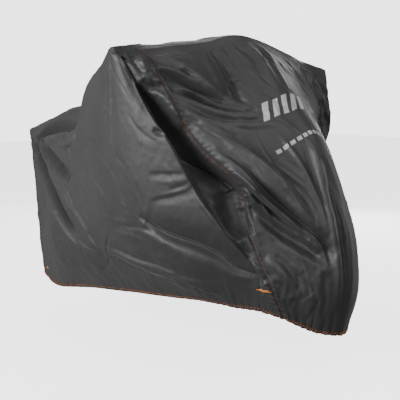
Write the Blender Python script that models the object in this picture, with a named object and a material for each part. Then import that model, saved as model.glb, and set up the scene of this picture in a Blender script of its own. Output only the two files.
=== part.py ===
"""A fitted motorcycle cover of thin coated cloth, as it hangs over a parked touring motorcycle.

The cover is one skin of cut panels. A ring of panels goes round the machine: two side panels, a front
panel between the front seams and a back strip between the rear seams. A saddle panel closes the top and
runs on down the back strip. The ring is drawn by ribs, which run from the top seam down to the hem. The
motorcycle is left out, so the cover is hollow and open below.

Metres, +Z up. The tables are measured from the point where the rear tyre would touch the ground: x runs to
the front, y to the machine's left and z up. The finished part is moved so that its origin lies under its top.
"""

import bpy
import numpy as np

# ---- Driving sizes ---------------------------------------------------------------------------------
CLOTH = 0.002  # thickness of the cloth
SEAM_INSET = 0.0008  # each panel stops short of its seam line by this much
SHARPEST_CORNER = 0.5  # keeps the inset short at a panel's sharp corners
ORIGIN = (1.10, 0.0, 1.318)  # under the top, where the handlebar and screen carry the cover
LEVELS = (0.0, 0.11, 0.25, 0.40, 0.56, 0.72, 0.87, 1.0)  # down a rib: 0 at the top seam, 1 at the hem
ROWS_BETWEEN_LEVELS = (1, 3, 3, 3, 2, 2, 3)

# Ribs from the rear right seam round the front to the rear left seam, then across the back.
# name, columns to the next rib, then (level, x, y, z) for each point that shapes the rib.
RIBS = (
    ("rear_seam_right", 2, (
        (0, -0.16, -0.15, 0.885), (1, -0.15, -0.158, 0.84), (3, -0.135, -0.16, 0.62),
        (5, -0.10, -0.158, 0.36), (7, -0.03, -0.175, 0.165))),
    ("haunch", 2, (
        (0, 0.02, -0.18, 0.965), (1, 0.05, -0.235, 0.885), (4, 0.09, -0.255, 0.56),
        (6, 0.12, -0.255, 0.29), (7, 0.15, -0.25, 0.165))),
    ("pannier", 2, (
        (0, 0.20, -0.20, 1.018), (1, 0.30, -0.315, 0.905), (4, 0.32, -0.36, 0.58),
        (6, 0.34, -0.335, 0.32), (7, 0.37, -0.30, 0.19))),
    ("seat", 3, (
        (0, 0.40, -0.21, 1.05), (1, 0.53, -0.37, 0.93), (4, 0.56, -0.415, 0.60),
        (6, 0.58, -0.38, 0.35), (7, 0.61, -0.335, 0.225))),
    ("tank", 3, (
        (0, 0.62, -0.24, 1.10), (1, 0.61, -0.358, 1.118), (2, 0.66, -0.405, 0.96),
        (4, 0.77, -0.44, 0.62), (6, 0.80, -0.39, 0.36), (7, 0.83, -0.345, 0.246))),
    ("fan_rear", 3, (
        (0, 0.80, -0.28, 1.18), (1, 0.80, -0.445, 1.18), (2, 0.85, -0.475, 1.01),
        (4, 0.94, -0.475, 0.66), (6, 1.00, -0.405, 0.38), (7, 1.03, -0.342, 0.262))),
    ("fan_middle", 4, (
        (0, 0.92, -0.32, 1.285), (1, 0.975, -0.52, 1.226), (2, 1.01, -0.525, 1.07),
        (4, 1.09, -0.495, 0.70), (6, 1.17, -0.41, 0.40), (7, 1.21, -0.33, 0.276))),
    ("bar_end_right", 4, (
        (0, 1.02, -0.36, 1.316), (1, 1.118, -0.57, 1.295), (2, 1.15, -0.553, 1.13),
        (4, 1.24, -0.50, 0.74), (6, 1.34, -0.395, 0.42), (7, 1.39, -0.30, 0.288))),
    ("crest_right", 4, (
        (0, 1.085, -0.40, 1.306), (1, 1.15, -0.572, 1.275), (2, 1.255, -0.525, 1.08),
        (3, 1.369, -0.48, 0.93), (4, 1.463, -0.43, 0.744), (5, 1.56, -0.378, 0.61),
        (6, 1.62, -0.285, 0.455), (7, 1.60, -0.235, 0.289))),
    ("front_seam_right", 3, (
        (0, 1.128, -0.43, 1.29), (1, 1.235, -0.44, 1.215), (2, 1.305, -0.43, 1.118),
        (3, 1.395, -0.39, 0.96), (4, 1.575, -0.325, 0.795), (5, 1.60, -0.292, 0.61),
        (6, 1.675, -0.26, 0.43), (7, 1.697, -0.19, 0.264))),
    ("cheek_right", 3, (
        (0, 1.152, -0.25, 1.308), (1, 1.29, -0.275, 1.215), (2, 1.415, -0.265, 1.09),
        (3, 1.54, -0.215, 0.94), (4, 1.68, -0.195, 0.76), (5, 1.745, -0.19, 0.58),
        (6, 1.765, -0.18, 0.40), (7, 1.735, -0.14, 0.235))),
    ("nose_right", 3, (
        (0, 1.165, -0.10, 1.325), (1, 1.33, -0.105, 1.245), (2, 1.49, -0.11, 1.12),
        (3, 1.67, -0.085, 0.95), (4, 1.765, -0.09, 0.76), (5, 1.838, -0.10, 0.575),
        (6, 1.855, -0.105, 0.38), (7, 1.78, -0.085, 0.21))),
    ("nose", 2, (
        (0, 1.195, 0.02, 1.356), (1, 1.365, 0.01, 1.255), (2, 1.53, 0.00, 1.12),
        (3, 1.712, 0.00, 0.93), (4, 1.795, 0.00, 0.75), (5, 1.868, 0.00, 0.56),
        (6, 1.878, 0.00, 0.365), (7, 1.825, 0.00, 0.20))),
    ("nose_left", 2, (
        (0, 1.19, 0.15, 1.338), (1, 1.32, 0.16, 1.235), (2, 1.44, 0.17, 1.10), (3, 1.58, 0.15, 0.93),
        (4, 1.70, 0.12, 0.75), (5, 1.79, 0.10, 0.56), (6, 1.81, 0.10, 0.365), (7, 1.765, 0.09, 0.205))),
    ("cheek_left", 3, (
        (0, 1.175, 0.32, 1.292), (1, 1.245, 0.34, 1.20), (2, 1.32, 0.35, 1.08), (3, 1.39, 0.31, 0.93),
        (4, 1.53, 0.24, 0.76), (5, 1.65, 0.20, 0.58), (6, 1.71, 0.17, 0.39), (7, 1.70, 0.135, 0.225))),
    ("front_seam_left", 4, (
        (0, 1.14, 0.43, 1.268), (1, 1.195, 0.465, 1.185), (2, 1.245, 0.465, 1.07),
        (3, 1.285, 0.435, 0.94), (4, 1.39, 0.35, 0.79), (5, 1.52, 0.29, 0.60), (6, 1.62, 0.245, 0.42),
        (7, 1.665, 0.18, 0.255))),
    ("crest_left", 4, (
        (0, 1.09, 0.46, 1.272), (1, 1.165, 0.597, 1.218), (2, 1.27, 0.515, 1.06),
        (3, 1.295, 0.498, 0.955), (4, 1.30, 0.455, 0.80), (5, 1.43, 0.385, 0.60),
        (6, 1.55, 0.29, 0.43), (7, 1.57, 0.23, 0.278))),
    ("bar_end_left", 4, (
        (0, 1.03, 0.40, 1.27), (1, 1.12, 0.585, 1.225), (2, 1.135, 0.555, 1.07), (4, 1.20, 0.49, 0.70),
        (6, 1.31, 0.385, 0.41), (7, 1.36, 0.30, 0.283))),
    ("fan_middle_left", 3, (
        (0, 0.93, 0.34, 1.24), (1, 0.975, 0.52, 1.16), (2, 1.01, 0.52, 1.01), (4, 1.08, 0.485, 0.67),
        (6, 1.16, 0.405, 0.39), (7, 1.20, 0.33, 0.272))),
    ("fan_rear_left", 3, (
        (0, 0.80, 0.28, 1.155), (1, 0.80, 0.445, 1.125), (2, 0.85, 0.47, 0.96), (4, 0.94, 0.47, 0.64),
        (6, 1.00, 0.40, 0.37), (7, 1.03, 0.342, 0.26))),
    ("tank_left", 3, (
        (0, 0.62, 0.24, 1.09), (1, 0.61, 0.355, 1.075), (2, 0.66, 0.40, 0.93), (4, 0.77, 0.435, 0.61),
        (6, 0.80, 0.385, 0.355), (7, 0.83, 0.345, 0.244))),
    ("seat_left", 2, (
        (0, 0.40, 0.21, 1.045), (1, 0.53, 0.365, 0.915), (4, 0.56, 0.405, 0.59),
        (6, 0.58, 0.375, 0.345), (7, 0.61, 0.335, 0.223))),
    ("pannier_left", 2, (
        (0, 0.20, 0.20, 1.015), (1, 0.30, 0.31, 0.895), (4, 0.32, 0.35, 0.575), (6, 0.34, 0.33, 0.315),
        (7, 0.37, 0.30, 0.188))),
    ("haunch_left", 2, (
        (0, 0.02, 0.18, 0.962), (1, 0.05, 0.23, 0.88), (4, 0.09, 0.25, 0.555), (6, 0.12, 0.25, 0.285),
        (7, 0.15, 0.25, 0.165))),
    ("rear_seam_left", 5, (
        (0, -0.16, 0.15, 0.885), (1, -0.15, 0.158, 0.84), (3, -0.135, 0.16, 0.62),
        (5, -0.10, 0.158, 0.36), (7, -0.03, 0.175, 0.165))),
    ("tail_left", 6, (
        (0, -0.38, 0.06, 0.92), (1, -0.375, 0.07, 0.86), (3, -0.34, 0.07, 0.62),
        (5, -0.31, 0.07, 0.38), (7, -0.22, 0.08, 0.19))),
    ("tail_right", 5, (
        (0, -0.36, -0.06, 0.918), (1, -0.33, -0.065, 0.86), (3, -0.275, -0.07, 0.62),
        (5, -0.25, -0.07, 0.38), (7, -0.17, -0.09, 0.175))),
)
RIB_NAMES = [name for name, _, _ in RIBS]
SHARP_RIBS = ("crest_right", "crest_left")  # the cloth turns here along an edge, not a curve
SHARP_LEVEL = 1  # the shoulder, where the saddle's side turns down into the wall

# Where the top seams of the ribs are joined across: the saddle's height along its middle, rear to front.
SADDLE = (  # x, z
    (-0.37, 0.925), (-0.15, 0.965), (0.05, 1.035), (0.30, 1.072), (0.52, 1.088), (0.70, 1.125),
    (0.84, 1.205), (0.94, 1.305), (1.00, 1.350), (1.10, 1.356), (1.195, 1.356),
)

SADDLE_FLATNESS = (0.25, 0.8)  # along, across: the smaller, the sooner the saddle reaches its full height

# Main folds: name, height (out is positive), width to the left and right of the line, and the line's points
# as (rib, level), so that 8.5 is half-way between ribs 8 and 9. Left and right are as seen walking the line.
FOLDS = (
    ("gully_right", -0.100, 0.055, 0.075, ((8.45, 1.2), (8.42, 2.0), (8.42, 3.0), (8.45, 3.7), (8.60, 4.4))),
    ("fan_ridge_right", 0.020, 0.060, 0.070, ((5.2, 4.4), (6.9, 5.0), (7.4, 5.6), (7.9, 6.3))),
    ("fan_trough_right", -0.022, 0.050, 0.045, ((6.6, 4.7), (7.4, 5.3), (7.9, 5.9), (8.4, 6.3))),
    ("low_ridge_right", 0.020, 0.060, 0.070, ((3.2, 4.9), (4.9, 5.5), (6.6, 6.1), (7.6, 6.8))),
    ("tail_wedge_right", -0.034, 0.055, 0.065, ((0.2, 1.0), (0.8, 2.2), (1.9, 3.4), (2.6, 4.3), (3.3, 5.2))),
    ("brow_ridge", 0.018, 0.055, 0.060, ((9.2, 0.4), (9.8, 1.3), (10.2, 1.8))),
    ("brow_trough", -0.020, 0.060, 0.060, ((9.05, 1.0), (9.7, 1.7), (10.4, 2.2))),
    ("screen_trough", -0.018, 0.055, 0.055, ((10.7, 0.3), (10.5, 1.3), (10.5, 2.4))),
    ("apron_ridge", 0.026, 0.070, 0.060, ((9.2, 2.8), (9.8, 3.6), (10.2, 4.2), (10.8, 5.2))),
    ("apron_trough", -0.024, 0.060, 0.060, ((9.2, 4.3), (9.7, 4.8), (10.4, 5.1), (11.0, 5.4))),
    ("gully_left", -0.016, 0.060, 0.060, ((15.4, 2.4), (15.4, 3.4), (15.4, 4.6))),
    ("apron_ridge_left", 0.022, 0.060, 0.060, ((14.6, 2.6), (14.1, 3.6), (13.6, 4.6), (13.2, 5.4))),
    ("fan_ridge_left", 0.020, 0.070, 0.060, ((19.2, 4.3), (17.6, 4.9), (16.8, 5.5), (16.1, 6.3))),
    ("low_ridge_left", 0.020, 0.070, 0.060, ((21.0, 4.8), (19.3, 5.5), (17.6, 6.1), (16.6, 6.8))),
    ("side_ridge_left", 0.018, 0.065, 0.060, ((17.0, 1.4), (17.8, 3.2), (18.6, 4.6))),
    ("tail_wedge_left", -0.030, 0.065, 0.055, ((23.7, 1.2), (23.0, 2.4), (22.0, 3.6), (21.1, 4.9))),
)

FOLD_REACH = 2.5  # a fold is left out beyond this many of its widths
FOLD_FADE = 0.6  # the smaller, the sooner a fold reaches its full height from its ends

# Lock holes: name, first and last rib, the rows of cells that its patch takes, the slit's centre as a share
# of the patch, and its half length and half height. The slits lie level.
LOCK_HOLES = (
    ("front_right", 8, 9, (6.0, 6.667), (0.52, 0.60), 0.027, 0.0065),
    ("front_left", 15, 16, (6.0, 6.667), (0.48, 0.60), 0.027, 0.0065),
    ("rear_right", 0, 1, (6.0, 6.667), (0.30, 0.55), 0.024, 0.0085),
    ("rear_left", 23, 24, (6.0, 6.667), (0.70, 0.55), 0.024, 0.0085),
)
BINDING_WIDTH = 0.006  # of the bound edge round each lock hole
BINDING_THICKNESS = 0.0016
BINDING_LIFT = 0.0004  # from the patch to the binding's back
BINDING_OVERLAP = 0.0005  # the slit's edge shows by this much inside the binding

# Finishes: colour and roughness.
COATED_CLOTH = ((0.030, 0.031, 0.033, 1.0), 0.42)
ORANGE_TAPE = ((0.55, 0.20, 0.035, 1.0), 0.60)

# Panels: name, first and last rib.
PANELS = (
    ("side_panel_right", 0, 9),
    ("front_panel", 9, 15),
    ("side_panel_left", 15, 24),
    ("saddle_panel", 24, 27),  # with the saddle itself
)


def spline(knots, values, places, sharp=()):
    """Values at the places, on a smooth curve through the knots that may turn sharply at some of them."""
    knots, values, places = (np.asarray(x, float) for x in (knots, values, places))
    rise = np.diff(values, axis=0) / np.diff(knots)[:, None]
    before = np.concatenate([rise[:1], rise])  # the slope that reaches a knot
    after = np.concatenate([rise, rise[-1:]])  # the slope that leaves it
    mean = 0.5 * (before + after)
    turn = np.isin(np.arange(len(knots)), sharp)[:, None]
    leaving, reaching = np.where(turn, after, mean), np.where(turn, before, mean)
    i = np.clip(np.searchsorted(knots, places, side="right") - 1, 0, len(knots) - 2)
    step = (knots[i + 1] - knots[i])[:, None]
    t = ((places - knots[i]) / (knots[i + 1] - knots[i]))[:, None]
    return (
        (1 + 2 * t) * (1 - t) ** 2 * values[i]
        + t * (1 - t) ** 2 * step * leaving[i]
        + t**2 * (3 - 2 * t) * values[i + 1]
        + t**2 * (t - 1) * step * reaching[i + 1]
    )


def rib_curves():
    """Every rib's points at all the levels, one array of ribs by levels by xyz."""
    ribs = []
    for _, _, points in RIBS:
        levels = [LEVELS[row[0]] for row in points]
        places = [row[1:] for row in points]
        sharp = [k for k, row in enumerate(points) if row[0] == SHARP_LEVEL]
        ribs.append(spline(levels, places, LEVELS, sharp))
    return np.array(ribs)


def ring_surface(columns, rows):
    """Points of the ring at the given places: columns in ribs, rows in levels. The ring closes on itself."""
    ribs, count = rib_curves(), len(RIBS)
    widths = np.array([row[1] for row in RIBS], float)
    starts = np.concatenate([[0], np.cumsum(widths)])
    knots = np.concatenate([starts[-3:-1] - starts[-1], starts, starts[1:3] + starts[-1]])
    order = np.arange(-2, count + 3) % count
    sharp = [k for k, rib in enumerate(order) if RIB_NAMES[rib] in SHARP_RIBS]
    where = np.interp(columns, np.arange(count + 1), starts)
    across = spline(knots, ribs[order].reshape(len(order), -1), where, sharp)
    across = across.reshape(len(where), len(LEVELS), 3)
    down = np.interp(rows, np.arange(len(LEVELS)), LEVELS)
    flat = across.transpose(1, 0, 2).reshape(len(LEVELS), -1)
    surface = spline(LEVELS, flat, down, (SHARP_LEVEL,))
    return surface.reshape(len(down), len(where), 3).transpose(1, 0, 2)


def unit(vectors):
    return vectors / np.maximum(np.linalg.norm(vectors, axis=-1, keepdims=True), 1e-12)


def fold_offset(points, normals, height, left, right, line):
    """How far a fold moves each point along its normal: a soft ridge or trough that fades at its ends."""
    offset = np.zeros(len(points))
    starts, runs = line[:-1], np.diff(line, axis=0)
    lengths = np.linalg.norm(runs, axis=1)
    reach = FOLD_REACH * max(left, right)
    near = np.all((points > line.min(0) - reach) & (points < line.max(0) + reach), axis=1)
    if not near.any():
        return offset
    p, n = points[near], normals[near]
    share = np.einsum("pkx,kx->pk", p[:, None] - starts, runs) / lengths**2
    share = np.clip(share, 0, 1)
    away = p[:, None] - (starts + share[..., None] * runs)
    distance = np.linalg.norm(away, axis=2)
    k = distance.argmin(axis=1)
    row = np.arange(len(p))
    side = np.einsum("px,px->p", np.cross(n, unit(runs)[k]), away[row, k])
    width = np.where(side > 0, left, right)
    walked = np.concatenate([[0], np.cumsum(lengths)])[k] + share[row, k] * lengths[k]
    fade = np.sin(np.pi * np.clip(walked / lengths.sum(), 0, 1)) ** FOLD_FADE
    offset[near] = height * fade * np.exp(-((distance[row, k] / width) ** 2))
    return offset


def grid_places():
    """Where the ring's columns and rows of points lie, in ribs and in levels."""
    columns = np.concatenate([k + np.arange(row[1]) / row[1] for k, row in enumerate(RIBS)])
    rows = [k + np.arange(n) / n for k, n in enumerate(ROWS_BETWEEN_LEVELS)]
    return columns, np.append(np.concatenate(rows), len(LEVELS) - 1)


def saddle_surface(right, left, front, back):
    """The saddle between its four edges, lifted or lowered along its middle to the heights in SADDLE."""
    u, w = np.linspace(0, 1, len(right))[:, None, None], np.linspace(0, 1, len(front))[None, :, None]
    ruled = (1 - w) * right[:, None] + w * left[:, None] + (1 - u) * back[None] + u * front[None]
    corners = (1 - u) * ((1 - w) * right[0] + w * left[0]) + u * ((1 - w) * right[-1] + w * left[-1])
    points = ruled - corners
    middle = points[:, len(front) // 2]
    x, z = np.array(SADDLE).T
    along, across = SADDLE_FLATNESS
    lift = (np.interp(middle[:, 0], x, z) - middle[:, 2]) * np.sin(np.pi * u[:, 0, 0]) ** along
    points[:, :, 2] += lift[:, None] * np.sin(np.pi * w[0, :, 0])[None] ** across
    return points


def faces_between(index):
    """The quads of a grid of point numbers, which face out when its rows run down and its columns forward."""
    a, b, c, d = index[:-1, :-1], index[:-1, 1:], index[1:, 1:], index[1:, :-1]
    return np.stack([a, b, c, d], axis=-1).reshape(-1, 4)


def vertex_normals(points, quads):
    p = points[quads]
    across = unit(np.cross(p[:, 2] - p[:, 0], p[:, 3] - p[:, 1]))
    normals = np.zeros_like(points)
    for corner in range(4):
        np.add.at(normals, quads[:, corner], across)
    return unit(normals)


def folded(points, normals):
    """The points moved along their normals by every fold."""
    moved = points.copy()
    for _, height, left, right, line in FOLDS:
        knots = np.array(line, float)
        fine = spline(np.arange(len(knots)), knots, np.linspace(0, len(knots) - 1, 6 * len(knots)))
        on_skin = np.array([ring_surface([rib], [level])[0, 0] for rib, level in fine])
        moved += fold_offset(points, normals, height, left, right, on_skin)[:, None] * normals
    return moved


def skin():
    """The whole skin's points and normals, and the numbers of the points on the ring and on the saddle."""
    columns, rows = grid_places()
    ring = ring_surface(columns, rows)
    ring_index = np.arange(ring.shape[0] * ring.shape[1]).reshape(ring.shape[:2])
    starts = np.concatenate([[0], np.cumsum([row[1] for row in RIBS])])
    rear_right, front_right, front_left, rear_left = (starts[k] for k in (0, 9, 15, 24))
    right = np.arange(rear_right, front_right + 1)
    left = np.arange(front_left, rear_left + 1)[::-1]
    front = np.arange(front_right, front_left + 1)
    back = np.append(np.arange(rear_left, starts[-1]), 0)[::-1]
    saddle = saddle_surface(*(ring[edge, 0] for edge in (right, left, front, back)))
    saddle_index = np.arange(saddle.shape[0] * saddle.shape[1]).reshape(saddle.shape[:2]) + ring_index.size
    saddle_index[:, 0], saddle_index[:, -1] = ring_index[right, 0], ring_index[left, 0]
    saddle_index[-1], saddle_index[0] = ring_index[front, 0], ring_index[back, 0]
    points = np.concatenate([ring.reshape(-1, 3), saddle.reshape(-1, 3)])
    closed_ring = np.concatenate([ring_index, ring_index[:1]])
    saddle_index = saddle_index.T  # so that its faces point up
    quads = np.concatenate([faces_between(closed_ring), faces_between(saddle_index)])
    points = folded(points, vertex_normals(points, quads))
    return points, vertex_normals(points, quads), closed_ring, saddle_index, starts, rows


def boundary(quads):
    """The edges that only one quad has, in the direction that it walks them."""
    edges = np.concatenate([quads[:, [k, (k + 1) % 4]] for k in range(4)])
    walked = set(map(tuple, edges.tolist()))
    return np.array([e for e in walked if (e[1], e[0]) not in walked])


def triangles(points, quads):
    """Each quad cut along its shorter diagonal, so that both faces of a sheet are cut alike."""
    a, b, c, d = quads.T
    along = np.linalg.norm(points[a] - points[c], axis=1) <= np.linalg.norm(points[b] - points[d], axis=1)
    one = np.where(along, (a, b, c), (a, b, d))
    two = np.where(along, (a, c, d), (b, c, d))
    return np.concatenate([one.T, two.T])


def sheet(name, outer, inner, quads, finish):
    """One closed piece of cloth between two like sets of points, as an object."""
    used = np.unique(quads)
    small = np.full(quads.max() + 1, -1)
    small[used] = np.arange(len(used))
    top = small[triangles(outer, quads)]
    under = top[:, ::-1] + len(used)
    edge = boundary(small[quads])
    walls = np.stack([edge[:, 1], edge[:, 0], edge[:, 0] + len(used), edge[:, 1] + len(used)], axis=1)
    mesh = bpy.data.meshes.new(name)
    points = np.concatenate([outer[used], inner[used]]) - np.array(ORIGIN)
    mesh.from_pydata(points.tolist(), [], [*top.tolist(), *under.tolist(), *walls.tolist()])
    mesh.validate()
    mesh.shade_smooth()
    piece = bpy.data.objects.new(name, mesh)
    bpy.context.collection.objects.link(piece)
    piece.data.materials.append(material(name, *finish))
    return piece


def material(name, colour, roughness):
    made = bpy.data.materials.new(name)
    made.use_nodes = True
    shader = made.node_tree.nodes["Principled BSDF"]
    shader.inputs["Base Color"].default_value = colour
    shader.inputs["Roughness"].default_value = roughness
    shader.inputs["Metallic"].default_value = 0.0
    return made


def drawn_in(points, normals, quads):
    """The points with the piece's edge moved in by the seam's inset, square to the edge, in the cloth."""
    edge = boundary(quads)
    run = unit(points[edge[:, 1]] - points[edge[:, 0]])
    inward = np.zeros_like(points)
    for end in (0, 1):
        np.add.at(inward, edge[:, end], unit(np.cross(normals[edge[:, end]], run)))
    corner = np.maximum(np.einsum("px,px->p", inward, inward), SHARPEST_CORNER)
    return points + SEAM_INSET * inward / corner[:, None]


# ---- Blender objects -------------------------------------------------------------------------------
def clear_scene():
    for thing in list(bpy.data.objects):
        bpy.data.objects.remove(thing)


def build_panel(name, points, normals, quads):
    outer = drawn_in(points, normals, quads)
    return sheet(name, outer, outer - CLOTH * normals, quads, COATED_CLOTH)


def patch_cells(closed_ring, starts, rows, hole):
    """The numbers of the points of a lock hole's cells."""
    _, first, last, (top, bottom), _, _, _ = hole
    down = [k for k, level in enumerate(rows) if top - 0.01 < level < bottom + 0.01]
    return closed_ring[starts[first] : starts[last] + 1, down[0] : down[-1] + 1]


def with_midpoints(loop):
    """A closed loop's points with the middle of each side added."""
    return np.stack([loop, 0.5 * (loop + np.roll(loop, -1, axis=0))], axis=1).reshape(-1, 3)


def build_lock_patch(hole, points, normals, cells):
    """The strip of cloth that holds a lock hole, and the bound edge round the hole, just in front of it."""
    name, _, _, _, (share_x, share_y), half_length, half_height = hole
    rim = np.concatenate([cells[:, 0], cells[-1, 1:], cells[-2::-1, -1], cells[0, -2:0:-1]])
    edge = drawn_in(points, normals, faces_between(cells))
    p, n = with_midpoints(edge[rim]), unit(with_midpoints(normals[rim]))
    corner, along, down = points[cells[0, 0]], points[cells[-1, 0]], points[cells[0, -1]]
    opposite = points[cells[-1, -1]]
    facing = unit(n.mean(axis=0))
    across = unit(np.cross((0.0, 0.0, 1.0), facing))
    drop = unit(np.cross(across, facing))
    centre = (1 - share_y) * ((1 - share_x) * corner + share_x * along)
    centre = centre + share_y * ((1 - share_x) * down + share_x * opposite)
    middle = points[cells[1:-1, 1:-1]].reshape(-1, 3)
    centre += facing * np.dot(middle.mean(axis=0) - centre, facing)
    flat = np.stack([(p - centre) @ across, (p - centre) @ drop], axis=1)
    angle = np.arctan2(flat[:, 1], flat[:, 0])

    def loop(grow, raised):
        x = (half_length + grow) * np.cos(angle)
        y = (half_height + grow) * np.sin(angle)
        return centre + x[:, None] * across + y[:, None] * drop + raised * facing

    rings = [p, loop(BINDING_WIDTH, 0), loop(0, 0)]
    turns = [n, np.tile(facing, (len(p), 1)), np.tile(facing, (len(p), 1))]
    count = len(p)
    index = np.arange(3 * count).reshape(3, count)
    quads = faces_between(np.concatenate([index, index[:, :1]], axis=1).T)
    outer = np.concatenate(rings)
    inner = outer - CLOTH * np.concatenate(turns)
    sheet(f"lock_patch_{name}", outer, inner, quads, COATED_CLOTH)
    lift = BINDING_LIFT + BINDING_THICKNESS
    front = np.concatenate([loop(BINDING_WIDTH, lift), loop(BINDING_OVERLAP, lift)])
    binding = faces_between(np.concatenate([index[:2], index[:2, :1]], axis=1).T)
    sheet(f"lock_binding_{name}", front, front - BINDING_THICKNESS * facing, binding, ORANGE_TAPE)


def main():
    clear_scene()
    points, normals, closed_ring, saddle_index, starts, rows = skin()
    patches = [patch_cells(closed_ring, starts, rows, hole) for hole in LOCK_HOLES]
    taken = {tuple(quad) for cells in patches for quad in faces_between(cells).tolist()}
    for name, first, last in PANELS:
        quads = faces_between(closed_ring[starts[first] : starts[last] + 1])
        quads = np.array([quad for quad in quads.tolist() if tuple(quad) not in taken])
        if name == "saddle_panel":
            quads = np.concatenate([quads, faces_between(saddle_index)])
        build_panel(name, points, normals, quads)
    for hole, cells in zip(LOCK_HOLES, patches):
        build_lock_patch(hole, points, normals, cells)


main()
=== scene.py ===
# %% [markdown]
# # A motorcycle cover
#
# A fitted cover is a bag of thin coated cloth that hangs over a parked machine. Its whole look is in how the
# cloth hangs: flat where it is pulled tight, ridged where it hangs from a point, pinched where elastic
# draws it in. The packed model gives the pieces and their places. This script gives each piece a fine
# sheet on the same skin, with its folds, creases, seams and hem, and then the finishes and the light.

import math
from collections import namedtuple

import bpy
import numpy as np
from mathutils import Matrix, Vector


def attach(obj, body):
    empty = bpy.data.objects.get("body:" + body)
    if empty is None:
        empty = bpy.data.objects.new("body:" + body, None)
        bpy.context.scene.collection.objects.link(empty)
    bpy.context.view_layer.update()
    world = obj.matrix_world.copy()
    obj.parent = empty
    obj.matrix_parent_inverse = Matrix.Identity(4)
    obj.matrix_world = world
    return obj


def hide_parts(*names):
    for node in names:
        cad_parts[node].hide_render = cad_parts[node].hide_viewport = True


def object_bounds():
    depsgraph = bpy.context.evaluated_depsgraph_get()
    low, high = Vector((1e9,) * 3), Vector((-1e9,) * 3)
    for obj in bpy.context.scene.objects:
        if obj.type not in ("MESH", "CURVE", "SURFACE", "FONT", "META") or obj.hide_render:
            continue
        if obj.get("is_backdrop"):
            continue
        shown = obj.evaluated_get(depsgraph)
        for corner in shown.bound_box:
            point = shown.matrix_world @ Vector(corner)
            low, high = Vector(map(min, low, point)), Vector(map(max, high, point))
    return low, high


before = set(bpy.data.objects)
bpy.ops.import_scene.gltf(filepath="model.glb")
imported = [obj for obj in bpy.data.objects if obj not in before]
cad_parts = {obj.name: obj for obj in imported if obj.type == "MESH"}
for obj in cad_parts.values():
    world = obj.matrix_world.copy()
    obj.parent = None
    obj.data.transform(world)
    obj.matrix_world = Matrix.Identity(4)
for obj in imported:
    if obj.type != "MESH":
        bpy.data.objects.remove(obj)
cad_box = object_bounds()
print("the cover's box, in metres:", [[round(v, 3) for v in corner] for corner in cad_box])

# %% [markdown]
# ## Camera
#
# The machine is seen from its front right, a little above its top, with a long lens. A camera in Blender
# looks along its own -Z, so its turn is worked out from the direction in which it looks.

# %% The camera
MACHINE = (1.10, 0.0, 1.318)  # the frame's origin, from the point under the rear wheel
GROUND = -MACHINE[2]
CAMERA_PLACE = (4.332, -2.834, 1.147)  # from the point under the rear wheel
CAMERA_TURN, CAMERA_DIP = math.radians(49.8), math.radians(6.53)


def turned_to(thing, direction):
    """A camera or a light turned to look in the direction."""
    thing.rotation_euler = direction.to_track_quat("-Z", "Y").to_euler()


bpy.ops.object.camera_add(location=[place - origin for place, origin in zip(CAMERA_PLACE, MACHINE)])
camera = bpy.context.object
camera.name = "camera"
camera.data.lens, camera.data.sensor_width = 90, 36
level_run = math.cos(CAMERA_DIP)
turned_to(camera, Vector((-math.sin(CAMERA_TURN) * level_run, math.cos(CAMERA_TURN) * level_run,
                          -math.sin(CAMERA_DIP))))
bpy.context.scene.camera = camera
print("camera at", [round(v, 3) for v in camera.location])

# %% [markdown]
# ## The skin
#
# All panels lie on one skin, so that they meet at their seams. It could be one mesh that is cut up, but a
# skin worked out from a few numbers gives any panel, as fine as it is needed. It is drawn by ribs, as a
# boat's hull is: each rib runs from the top seam down to the hem, and smooth curves run round through the
# ribs at each level. The packed model has the same ribs, so the fine sheets lie on its solids. A place on
# the skin is named by two numbers, rib and level: 8.5 and 3 is half-way between ribs 8 and 9, at level 3.

# %% The ribs
MM = 0.001  # metres in a millimetre
LEVELS = (0.0, 0.11, 0.25, 0.40, 0.56, 0.72, 0.87, 1.0)  # down a rib: 0 at the top seam, 1 at the hem
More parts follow.
